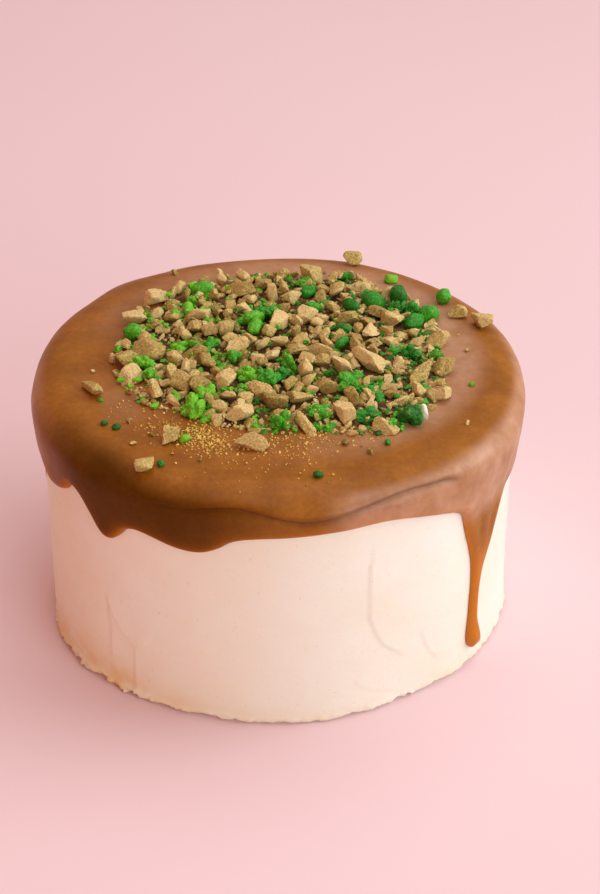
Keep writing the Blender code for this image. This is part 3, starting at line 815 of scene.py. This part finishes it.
def columnAzimuth(roots, endHeights, numbers, z, flanks):
    # a column hangs straight down, and in a long drip it keeps its share of the drip's width
    azimuth = roots[numbers].copy()
    for left, right, leftward, rightward, startRoot, endRoot in flanks:
        middle = (endRoot - startRoot) / 2
        for mine, sign in ((leftward[numbers], 1), (rightward[numbers], -1)):
            height, end = z[mine], endHeights[numbers][mine]
            leftSide = np.interp(height, left[:, 1], left[:, 0])
            rightSide = np.interp(height, right[:, 1], right[:, 0])
            leftSide += (startRoot - leftSide) * (height > left[-1, 1])
            rightSide += (endRoot - rightSide) * (height > right[-1, 1])
            share = (roots[numbers][mine] - startRoot) if sign > 0 else (endRoot - roots[numbers][mine])
            settle = 1 - np.exp(-np.clip(height - end, 0, None) / glazeSettings["settle"])
            settled = 1 - np.exp(-(glazeForm["widest"] - end) / glazeSettings["settle"])
            inset = share / middle * settle / settled
            half = (rightSide - leftSide) / 2
            azimuth[mine] = leftSide + inset * half if sign > 0 else rightSide - inset * half
    return azimuth


def creaseDepth(azimuth, place):
    crease = aroundTheCake(glazeForm["crease"], azimuth, 1)
    depth = aroundTheCake(glazeForm["crease"], azimuth, 2)
    step = eased((place - crease) / glazeForm["creaseWidth"])
    fade = 1 - glazeForm["creaseFade"] * eased(place - crease)
    line = np.exp(-(((place - crease - 0.07) / 0.065) ** 2))
    roll = np.exp(-(((place - crease + 0.16) / 0.15) ** 2))
    return depth * step * fade + np.minimum(depth, 1) * (line - roll)


def bloomAndSheenShares(spots, azimuth, place):
    # greyish painted sheen on the top round the heap, and on the upper part of the side
    s = glazeSettings
    own = np.hypot(spots[:, 0], spots[:, 1] - heapForm["centre"][1])
    onTop = eased((own - 44) / 8) * eased((74 - own) / 12) * aroundTheCake(s["bloomAndSheenTurns"], azimuth)
    upper = eased((place - 1.35) / 0.3) * eased((spots[:, 2] - 58) / 12)
    return np.maximum(onTop, aroundTheCake(s["sideBloomAndSheenTurns"], azimuth) * upper)


def deepAndShadeShares(azimuth, place):
    # darker where the glaze pooled deep, with painted shade on that side away from the light, and painted
    # shade in the crease
    s = glazeSettings
    centre, width, strength = s["deepAndShadeStretch"]
    start = 0.92 + 0.32 * eased((azimuth + 44) / 16)
    deep = strength * np.exp(-(((azimuth - centre) / width) ** 4)) * eased((place - start) / 0.6)
    crease, depth = (aroundTheCake(glazeForm["crease"], azimuth, column) for column in (1, 2))
    shade = np.exp(-(((place - crease - 0.02) / 0.13) ** 2)) * np.minimum(depth, 1)
    return np.maximum(deep, s["creaseShade"] * shade * (place > 1))


def buildGlaze():
    s = glazeSettings
    top, widest, run, lip = (glazeForm[key] for key in ("top", "widest", "run", "lip"))
    flat = glazeForm["radius"] - run
    path, edgeHeight, roots, flanks = glazeOutline()
    columns = len(roots)
    topRings = [*s["topRings"], *np.arange(s["topRings"][-1] + s["topStep"], flat, s["topStep"])]
    beads = s["beadRings"]
    starts = {"shoulder": len(topRings)}
    starts["side"] = starts["shoulder"] + s["shoulderRings"]
    starts["bead"] = starts["side"] + s["sideRings"]
    starts["inner"] = starts["bead"] + len(beads)
    total = starts["inner"] + s["wallRings"] + 3
    # a plain section for the spin, out and back; its vertices are placed below
    out = total // 2
    section = [(n * 1.0, 0.0) for n in range(out)]
    section += [(out - n * out / (total - out - 1), 10.0 + 0.1 * n) for n in range(total - out)]
    mesh, rings, numbers = spunGrid(section, columns)
    root = roots[numbers]
    endHeight = edgeHeight[numbers]
    azimuth, radius, z = root.copy(), np.zeros(len(root)), np.zeros(len(root))
    place = np.zeros(len(root))
    edgeDistance = np.full(len(root), 99.0)

    onTop = rings < starts["shoulder"]
    radius[onTop] = np.array(topRings)[rings[onTop]]
    z[onTop] = top
    place[onTop] = radius[onTop] / flat

    onShoulder = (rings >= starts["shoulder"]) & (rings < starts["side"])
    share = (rings[onShoulder] - starts["shoulder"]) / s["shoulderRings"]
    place[onShoulder] = 1 + share
    rim = swelling(glazeForm["rimSwells"], azimuth)
    radius[onShoulder] = flat + run * np.sin(share * np.pi / 2) + (rim[onShoulder] * eased(share))
    z[onShoulder] = widest + (top - widest) * np.cos(share * np.pi / 2)

    onSide = (rings >= starts["side"]) & (rings < starts["inner"])
    unroll = cakeForm["radius"] * degree
    length = widest - endHeight
    beadIndex = np.clip(rings - starts["bead"], 0, len(beads) - 1)
    back = np.where(
        rings >= starts["bead"], np.array(beads)[len(beads) - 1 - beadIndex],
        beads[-1] + (length - beads[-1]) * (1 - (rings - starts["side"]) / s["sideRings"]),
    )
    z[onSide] = (endHeight + np.minimum(back, length))[onSide]
    azimuth[onSide] = columnAzimuth(roots, edgeHeight, numbers, z, flanks)[onSide]
    distance, _ = distanceToPath(azimuth[onSide], z[onSide], np.vstack([path, path[0] + (360, 0)]))
    edgeDistance[onSide] = np.where(rings[onSide] == starts["inner"] - 1, 0.0, distance)
    wall = cakeRadius(azimuth, z)
    rim = swelling(glazeForm["rimSwells"], azimuth)
    atRim = glazeForm["radius"] + rim - cakeRadius(azimuth, np.full(len(z), widest))
    thick = lip + (atRim - lip) * (1 - eased((widest - z) / glazeForm["sideFade"]))
    for beadAzimuth, beadHeight, extra, reach in dripBeads:
        away = np.hypot(((azimuth - beadAzimuth + 180) % 360 - 180) * unroll, z - beadHeight)
        thick += extra * np.exp(-((away / reach) ** 2))
    bead = np.sqrt(np.clip(1 - (1 - np.minimum(edgeDistance / glazeForm["beadWidth"], 1)) ** 2, 0, 1))
    pleatStart, pleatEnd, pleatWidth = s["pleatTurns"]
    pleats = np.sin((root - pleatStart) / pleatWidth * np.pi)
    pleats *= eased((root - pleatStart) / 6) * eased((pleatEnd - root) / 8)
    pleats *= eased((widest + 2 - z) / 14) * eased((z - 44) / 16)
    thick += s["pleatHeight"] * pleats * np.minimum(edgeDistance / 3, 1)
    radius[onSide] = (wall + 0.12 + thick * bead)[onSide]
    place[onSide] = (2 + (widest - z) / 20)[onSide]

    # inner wall, up the cake and under the top
    innerNumber = rings - starts["inner"]
    lowest = np.minimum(0.5, length * 0.2)
    innerBack = lowest + (length - 4 - lowest) * innerNumber / (s["wallRings"] - 1)
    inside = (innerNumber >= 0) & (innerNumber < s["wallRings"])
    z[inside] = (endHeight + innerBack)[inside]
    azimuth[inside] = columnAzimuth(roots, edgeHeight, numbers, z, flanks)[inside]
    radius[inside] = (cakeRadius(azimuth, z) + 0.1)[inside]
    cakeTop, edge = cakeForm["height"], cakeForm["edge"]
    underside = ((cakeForm["radius"] - edge * 0.2, cakeTop - 0.9), (cakeForm["radius"] - edge, cakeTop + 0.1),
                 (0.0, cakeTop + 0.1))
    for number, (ringRadius, ringHeight) in enumerate(underside):
        here = innerNumber == s["wallRings"] + number
        radius[here] = ringRadius
        z[here] = ringHeight

    outer = rings < starts["inner"]
    reach = outer & (place > 1)
    radius[reach] -= (creaseDepth(azimuth, place) * np.minimum(edgeDistance / 2.5, 1))[reach]

    # swells, and fine wrinkles where the skin set first
    spots = roundTheAxis(radius, azimuth, z)
    swells = noiseAt(spots[outer], 21, 7) + 0.5 * noiseAt(spots[outer], 9, 8)
    wrinkles = noiseAt(spots[outer] * (1.0, 1.0, 0.5), 2.6, 9)
    # painted sheen, which also sets where the fine skin wrinkles grow
    bloom = bloomAndSheenShares(spots, azimuth, place)
    push = s["swellHeight"] * swells + s["wrinkleHeight"] * wrinkles * (0.3 + bloom[outer])
    push *= np.minimum(edgeDistance[outer] / 4, 1)
    upright = np.clip(2 - place[outer], 0, 1)
    z[outer] += push * upright
    radius[outer] += push * (1 - upright) * (place[outer] > 1)

    writePlaces(mesh, roundTheAxis(radius, azimuth, z))
    thin = np.exp(-edgeDistance / s["thinReach"]) * 0.8
    addShares(mesh, "thin", np.maximum(thin, eased((s["thinHeight"] - z) / 22) * outer * 0.75))
    addShares(mesh, "bloom", bloom)
    # painted shade, partly over darker pooled glaze
    addShares(mesh, "deep", deepAndShadeShares(azimuth, place))
    return addPiece("caramelGlaze", mesh, pouredCaramel(), "caramel_glaze", "glaze")


# Pieces and crumbs

def ballTemplate(subdivisions):
    ball = bmesh.new()
    bmesh.ops.create_icosphere(ball, subdivisions=subdivisions, radius=1.0)
    directions = np.array([vertex.co.normalized() for vertex in ball.verts])
    faces = np.array([[vertex.index for vertex in face.verts] for face in ball.faces])
    ball.free()
    return directions, faces


sharpAngle = 38 * degree
largePiece = 6.5  # mm: longer pieces get a finer mesh
cutSharpness = 40  # the higher, the sharper the edges between the planes of a broken piece
mostReach = 1.45
balls = {subdivisions: ballTemplate(subdivisions) for subdivisions in (1, 2, 3, 4)}


def cutForm(draw, directions, cuts, flattest):
    # a broken lump: in each direction the nearest of several planes, at different depths
    normals = []
    while len(normals) < cuts:
        normal = Vector([draw.gauss(0, 1) for _ in range(3)]).normalized()
        if len(normals) % 2:
            normal = (normal * 0.7 - normals[-1]).normalized()
        normals.append(normal)
    depths = np.array([draw.uniform(flattest, 1.0) for _ in normals])
    shares = np.clip(directions @ np.array(normals).T, 0, None) / depths
    reach = np.maximum((shares**cutSharpness).sum(1), 1e-9) ** (-1 / cutSharpness)
    edge = 1 - np.clip(shares.max(1) * reach, 0, 1)
    return np.minimum(reach, mostReach), edge / max(edge.max(), 1e-6)


def fitted(places, size):
    low, high = places.min(0), places.max(0)
    return (places - (low + high) / 2) / (high - low) * size


def turned(places, turn, lean, roll):
    return places @ np.array(Euler((lean, roll, math.radians(turn))).to_matrix()).T


def biscuitPiece(draw, place, size, turn, subdivisions=3):
    fine = max(size) > largePiece
    directions, faces = balls[4 if fine else subdivisions]
    reach, edge = cutForm(draw, directions, draw.randint(8, 11), 0.5)
    seed = draw.uniform(0, 50)
    rough = noiseAt(directions * 3.4, 1.0, seed) * 0.07 + noiseAt(directions * 9.0, 1.0, seed + 1) * 0.045
    if fine:
        rough += noiseAt(directions * 19.0, 1.0, seed + 2) * 0.035
    places = fitted(directions * (reach * (1 + rough))[:, None], np.array(size))
    lean = 0.3 if max(size) > 6 else 0.8
    places = turned(places, turn, draw.uniform(-lean, lean), draw.uniform(-lean, lean)) + place
    return places, faces, edge


def greenCluster(draw, place, size, turn, subdivisions=3):
    # granules grown together: in each direction the outermost of several balls, with a sugary grain
    directions, faces = balls[4 if max(size) > largePiece else subdivisions]
    reach = np.full(len(directions), 0.45)
    for _ in range(draw.randint(9, 14)):
        centre = np.array(Vector([draw.gauss(0, 1) for _ in range(3)]).normalized())
        centre *= draw.uniform(0.35, 0.72)
        radius = draw.uniform(0.24, 0.42)
        along = directions @ centre
        inside = along**2 - centre @ centre + radius**2
        outermost = along + np.sqrt(np.clip(inside, 0, None))
        reach = np.maximum(reach, np.where((inside > 0) & (along > 0), outermost, 0))
    seed = draw.uniform(0, 50)
    grain = noiseAt(directions * 4.5, 1.0, seed) * 0.16 + noiseAt(directions * 10.0, 1.0, seed + 1) * 0.12
    places = fitted(directions * (reach * (1 + grain))[:, None], np.array(size))
    places = turned(places, turn, draw.uniform(-0.3, 0.3), draw.uniform(-0.3, 0.3)) + place
    return places, faces, np.clip(reach * (1 + grain * 2) - 0.55, 0, 0.9)


def greenPellet(draw, place, size, turn, subdivisions=3):
    directions, faces = balls[subdivisions]
    seed = draw.uniform(0, 50)
    bumps = 1 + noiseAt(directions * 1.5, 1.0, seed) * 0.22 + noiseAt(directions * 6.0, 1.0, seed) * 0.07
    places = fitted(directions * bumps[:, None], np.array(size))
    places = turned(places, turn, draw.uniform(-0.5, 0.5), draw.uniform(-0.3, 0.3)) + place
    return places, faces, np.clip((bumps - 1) * 3, 0, 0.5)


def joinedMesh(name, shapes, draw, tints=(0.0, 1.0), clearance=0.15, leftTint=0.0):
    # many small shapes as one mesh, each with its own tone and none below the glaze
    places, faces, edges, tones, count = [], [], [], [], 0
    for shapePlaces, shapeFaces, shapeEdges in shapes:
        places.append(shapePlaces)
        faces.append(shapeFaces + count)
        edges.append(shapeEdges)
        toLeft = leftTint * min(max(0.5 - shapePlaces[:, 0].mean() / 50, 0), 1)
        tones.append(np.full(len(shapePlaces), draw.uniform(*tints) + toLeft))
        count += len(shapePlaces)
    places, faces = np.vstack(places), np.vstack(faces)
    floorHeight = glazeSurface(places[:, 0], places[:, 1]) - clearance
    places[:, 2] = np.maximum(places[:, 2], floorHeight)
    mesh = bpy.data.meshes.new(name)
    mesh.from_pydata((places * millimetre).tolist(), [], faces.tolist())
    addShares(mesh, "edge", np.concatenate(edges))
    addShares(mesh, "tint", np.concatenate(tones))
    mesh.shade_smooth()
    mesh.set_sharp_from_angle(angle=sharpAngle)
    return mesh


def restingPlace(x, y, rise, onCore=True):
    height = float(glazeSurface(x, y)) + (float(coreHeight(x, y)) if onCore else 0.0)
    return np.array((x, y, height + rise))


def scatteredPieces():
    # the same draws as in the solid heap, so that the pieces lie where its lumps lie
    draw = random.Random(heapForm["placeSeed"])
    placed = [((x, y), max(length, width)) for x, y, length, width, _, _ in scatterOrder]
    found = []
    for _ in range(heapForm["mostDraws"]):
        azimuth = draw.uniform(-180, 180)
        reach = math.sqrt(draw.random()) * heapForm["fillShare"] * float(heapRadius(azimuth))
        shape = (1, draw.uniform(*heapForm["fillShapes"]), draw.uniform(*heapForm["fillShapes"]))
        length = draw.uniform(*heapForm["fillSizes"])
        turn = draw.uniform(0, 180)
        x = heapForm["centre"][0] + reach * math.sin(azimuth * degree)
        y = heapForm["centre"][1] - reach * math.cos(azimuth * degree)
        near = any(math.hypot(x - px, y - py) < heapForm["fillSpacing"] * (length + wide) / 2
                   for (px, py), wide in placed)
        patchX, patchY = heapForm["barePatch"]
        if near or math.hypot(x - patchX, y - patchY) < heapForm["bareRadius"]:
            continue
        placed.append(((x, y), length))
        found.append((x, y, tuple(share * length for share in shape), turn))
        if len(found) == heapForm["fillCount"]:
            break
    return found


scatterOrder = (*biscuitPlaces, *greenPlaces)

heapSettings = {
    "shapeSeed": 5,
    # x, y and reach of the stretches where green lies thickest
    "greenStretches": (
        (-30, 35, 6), (-18, 23, 6), (-4, 28, 6), (-8, 14, 5), (-30, 6, 6), (-38, -11, 5), (-22, -22, 5),
        (-27, -37, 6), (-11, -15, 6), (-18, -2, 4), (7, -15, 5), (21, 18, 5), (24, 9, 4), (17, 2, 4),
        (36, 38, 6), (44, 34, 6), (50, 20, 5), (42, 5, 5), (52, -2, 5), (15, -9, 4), (31, -20, 4),
        (46, -30, 5), (36, -38, 5),
        (28, -44, 4), (44, -44, 4), (11, -43, 4), (-5, -43, 4), (-37, -42, 4), (9, 48, 4), (-46, 26, 4),
        (-51, 13, 4),
    ),
    "greenElsewhere": 0.07,
    "greenMost": 0.92,
    "slimming": (0.7, 0.95),
    # how many, and the sizes in mm from and to
    "biscuitFragments": (520, 2.4, 5.4),
    "biscuitCrumbs": (1200, 0.9, 2.4),
    "greenCrumbs": (1150, 0.9, 4.0),
    "goldGrains": (1700, 0.3, 1.0),
    "pelletsBeyond": 12,  # mm: farther back than this the green pieces are mostly smooth pellets
    "pelletShares": (0.15, 0.6),
    "pelletShape": (1.05, 0.75, 0.85),
}


def greenShare(x, y):
    s = heapSettings
    near = sum(math.exp(-((x - px) ** 2 + (y - py) ** 2) / reach**2) for px, py, reach in s["greenStretches"])
    return min(s["greenElsewhere"] + near, s["greenMost"])


def heapTop(surfaces, x, y):
    # height of whatever lies uppermost here
    heights = [surface.ray_cast(Vector((x, y, 150)), Vector((0, 0, -1)))[0] for surface in surfaces]
    return max((hit.z for hit in heights if hit is not None), default=None)


def surfaceOf(piece):
    points = (readPlaces(piece.data) / millimetre).tolist()
    return BVHTree.FromPolygons(points, [list(face.vertices) for face in piece.data.polygons])


def buildBed():
    # bed of crushed crumbs under the pieces, dark also as painted shade in the gaps between them
    columns, count = 200, 40
    section = [(0.0, 0.0), (1.0, 0.0)] + [(1 - n / count, 1.0) for n in range(count + 1)]
    mesh, rings, numbers = spunGrid([(radius * 100, z * 10) for radius, z in section], columns)
    section = np.array(section)
    azimuth = numbers / columns * 360.0
    turn = azimuth * degree
    ragged = 1 + 0.09 * np.sin(7 * turn + 1) * np.sin(3 * turn) - 0.06 * np.cos(11 * turn)
    reach = section[rings, 0] * heapRadius(azimuth) * heapForm["coreShare"] * ragged
    x = heapForm["centre"][0] + reach * np.sin(turn)
    y = heapForm["centre"][1] - reach * np.cos(turn)
    surface = glazeSurface(x, y)
    spots = np.stack([x, y, surface], axis=1)
    rough = 0.7 * noiseAt(spots, 3.0, 11) + 0.8 * noiseAt(spots, 1.5, 12)
    rim = np.clip((1 - section[rings, 0]) * 9, 0, 1)
    z = surface + np.where(section[rings, 1] > 0.5, (coreHeight(x, y) * 0.5 + rough) * rim + 0.05, -0.2)
    writePlaces(mesh, np.stack([x, y, z], axis=1))
    addShares(mesh, "edge", np.clip(rough, 0, 1))
    addShares(mesh, "tint", 0.45 + 0.5 * noiseAt(spots, 7.0, 13))
    return addPiece("crumbBed", mesh, crushedAndShaded, "chopped_biscuit", "topping_heap")


def buildHeap():
    s = heapSettings
    draw = random.Random(s["shapeSeed"])
    biscuits, greens = [], []
    for x, y, length, width, height, turn in biscuitPlaces:
        place = restingPlace(x, y, heapForm["bigRise"] * height)
        biscuits.append(biscuitPiece(draw, place, (length, width, height), turn))
    for x, y, length, width, height, turn in greenPlaces:
        place = restingPlace(x, y, heapForm["bigRise"] * height)
        shape = greenPellet if y > s["pelletsBeyond"] else greenCluster
        greens.append(shape(draw, place, (length, width, height), turn))
    for x, y, size, turn in scatteredPieces():
        place = restingPlace(x, y, heapForm["fillRise"] * size[2])
        if draw.random() < greenShare(x, y):
            if draw.random() < s["pelletShares"][y > s["pelletsBeyond"]]:
                longer = tuple(length * share for length, share in zip(size, s["pelletShape"]))
                greens.append(greenPellet(draw, place, longer, turn))
            else:
                greens.append(greenCluster(draw, place, size, turn))
        else:
            slimmer = (size[0], *(length * draw.uniform(*s["slimming"]) for length in size[1:]))
            biscuits.append(biscuitPiece(draw, place, slimmer, turn))
    mesh = joinedMesh("biscuitPieces", biscuits, draw, (0.25, 0.95))
    biscuitHeap = addPiece("biscuitPieces", mesh, biscuit, "chopped_biscuit")
    mesh = joinedMesh("greenPieces", greens, draw, (0.1, 0.6), leftTint=0.4)
    greenHeap = addPiece("greenPieces", mesh, greenCrumble, "green_crumble")
    return biscuitHeap, greenHeap


def buildCrumbs(surfaces):
    s = heapSettings
    draw = random.Random(s["shapeSeed"] + 1)
    kinds = {kind: [] for kind in ("biscuitFragments", "biscuitCrumbs", "greenCrumbs")}
    for kind, shapes in kinds.items():
        count, low, high = s[kind]
        while len(shapes) < count:
            azimuth = draw.uniform(-180, 180)
            reach = math.sqrt(draw.random()) * float(heapRadius(azimuth))
            x = heapForm["centre"][0] + reach * math.sin(azimuth * degree)
            y = heapForm["centre"][1] - reach * math.cos(azimuth * degree)
            if kind == "greenCrumbs" and draw.random() > 0.15 + greenShare(x, y):
                continue
            top = heapTop(surfaces, x, y)
            above = top - float(glazeSurface(x, y)) - float(coreHeight(x, y)) * 0.5
            if draw.random() < (above - 1) / 2.2:
                continue
            length = low + (high - low) * draw.random() ** 1.7
            size = (length, length * draw.uniform(0.5, 0.9), length * draw.uniform(0.4, 0.75))
            place = np.array((x, y, top + size[2] * draw.uniform(0.1, 0.4)))
            turn = draw.uniform(0, 360)
            if kind == "greenCrumbs":
                shapes.append(greenCluster(draw, place, size, turn, 2 if length > 1.8 else 1))
            else:
                fineness = 3 if length > 3.2 else 2 if kind == "biscuitFragments" else 1
                shapes.append(biscuitPiece(draw, place, size, turn, fineness))
    mesh = joinedMesh("biscuitFragments", kinds["biscuitFragments"], draw, (0.15, 1.0))
    addPiece("biscuitFragments", mesh, biscuit, "chopped_biscuit")
    mesh = joinedMesh("biscuitCrumbs", kinds["biscuitCrumbs"], draw, (0.2, 1.0))
    addPiece("biscuitCrumbs", mesh, biscuit, "chopped_biscuit")
    mesh = joinedMesh("greenCrumbs", kinds["greenCrumbs"], draw, (0.1, 0.7), leftTint=0.5)
    addPiece("greenCrumbs", mesh, greenCrumble, "green_crumble")


# Golden grains: x, y and spread in mm of each drift, and its share of the grains
goldDrifts = (
    (-25, -46, 6, 0.26), (-19, -52, 6, 0.14), (2, -51, 10, 0.12), (-36, -42, 7, 0.06), (-48, -32, 7, 0.02),
    (12, -45, 8, 0.08), (26, -46, 8, 0.05), (0, 6, 34, 0.06), (-10, -60, 22, 0.08),
)


def buildGold(surfaces):
    draw = random.Random(heapSettings["shapeSeed"] + 2)
    grains = []
    directions, faces = balls[1]
    count, low, high = heapSettings["goldGrains"]
    for x0, y0, reach, share in goldDrifts:
        for _ in range(int(count * share)):
            x, y = x0 + draw.gauss(0, reach * 0.7), y0 + draw.gauss(0, reach * 0.6)
            if math.hypot(x, y) > 78:  # off the level top
                continue
            size = low + (high - low) * draw.random() ** 2.2
            top = heapTop(surfaces, x, y)
            shape = np.array([draw.uniform(0.7, 1.1) for _ in range(3)]) * size / 2
            places = turned(directions * shape, draw.uniform(0, 360), draw.uniform(-1, 1), 0)
            places += (x, y, top + size * 0.2)
            grains.append((places, faces, np.full(len(directions), draw.random())))
    addPiece("goldenCrumbs", joinedMesh("goldenCrumbs", grains, draw), golden, "chopped_biscuit")


def buildStrays():
    draw = random.Random(heapSettings["shapeSeed"])
    for node, (x, y, length, width, height, turn) in strayPlaces.items():
        place = restingPlace(x, y, heapForm["strayRise"] * height, onCore=False)
        green = node.startswith("pellet")
        shape = greenPellet if green else biscuitPiece
        piece = shape(draw, place, (length, width, height), turn)
        mesh = joinedMesh(node, [piece], draw, (0.4, 0.7), clearance=-0.05)
        name = "".join(word.title() for word in node.split("_"))
        finish, slotName = (greenCrumble, "green_crumble") if green else (biscuit, "chopped_biscuit")
        addPiece(name[0].lower() + name[1:], mesh, finish, slotName, node)


# Single crumbs on the glaze: x, y, size and whether it is green
looseCrumbs = (
    (-55.5, -39.5, 2.4, 1), (-51.5, -42, 2.6, 1), (-36.1, -63.2, 2.4, 1), (-29.3, -49.6, 3.6, 1),
    (13, -70, 3.0, 1), (29.5, -56.5, 2.4, 0), (21.5, -51, 2.8, 0), (35, -51, 2.2, 1), (61, -39, 1.6, 0),
    (64, -15, 1.9, 1), (-45.5, -51.5, 2.0, 0), (40, 58, 4.4, 1), (-58, -25, 1.8, 1), (-38, 65, 2.6, 0),
    (64, 8, 1.8, 0), (-62, -6, 1.4, 0), (-40, -46, 1.8, 0), (-48, -38, 2.0, 0), (-24, -61, 1.3, 0),
    (-33, -57, 1.2, 0),
)
sugarShard = {"place": (47.4, -37.6, 94.2), "size": (2.2, 1.0, 5.6), "turn": (-0.5, -0.3, 0.2)}


def buildLooseCrumbs(draw):
    sorts = {0: [], 1: []}
    for x, y, width, green in looseCrumbs:
        place = restingPlace(x, y, width * 0.28, onCore=False)
        size = (width * 1.15, width * 0.95, width * 0.8)
        shape = greenPellet if green else biscuitPiece
        sorts[green].append(shape(draw, place, size, draw.uniform(0, 180), 3))
    mesh = joinedMesh("looseBiscuitCrumbs", sorts[0], draw)
    addPiece("looseBiscuitCrumbs", mesh, biscuit, "chopped_biscuit")
    mesh = joinedMesh("looseGreenCrumbs", sorts[1], draw)
    addPiece("looseGreenCrumbs", mesh, greenCrumble, "green_crumble")


def buildSugarShard(draw):
    directions, faces = balls[3]
    reach, edge = cutForm(draw, directions, 8, 0.6)
    shard = fitted(directions * reach[:, None], np.array(sugarShard["size"]))
    shard = shard @ np.array(Euler(sugarShard["turn"]).to_matrix()).T + sugarShard["place"]
    addPiece("sugarShard", joinedMesh("sugarShard", [(shard, faces, edge)], draw), paleSugar, "green_crumble")


print("camera, lights and floor")
buildCamera()
buildLights()
buildRoom()
buildFloor()
print("buttercream and glaze")
buildButtercream()
glazePiece = buildGlaze()
biscuit, crushedAndShaded, greenCrumble, golden, paleSugar = (choppedPiece(*finish) for finish in toppingFinishes)
print("heap")
bedPiece = buildBed()
heapPieces = buildHeap()
surfaces = [surfaceOf(piece) for piece in (glazePiece, bedPiece, *heapPieces)]
print("crumbs")
buildCrumbs(surfaces)
buildGold(surfaces)
buildStrays()
looseDraw = random.Random(heapSettings["shapeSeed"] + 3)
buildLooseCrumbs(looseDraw)
buildSugarShard(looseDraw)
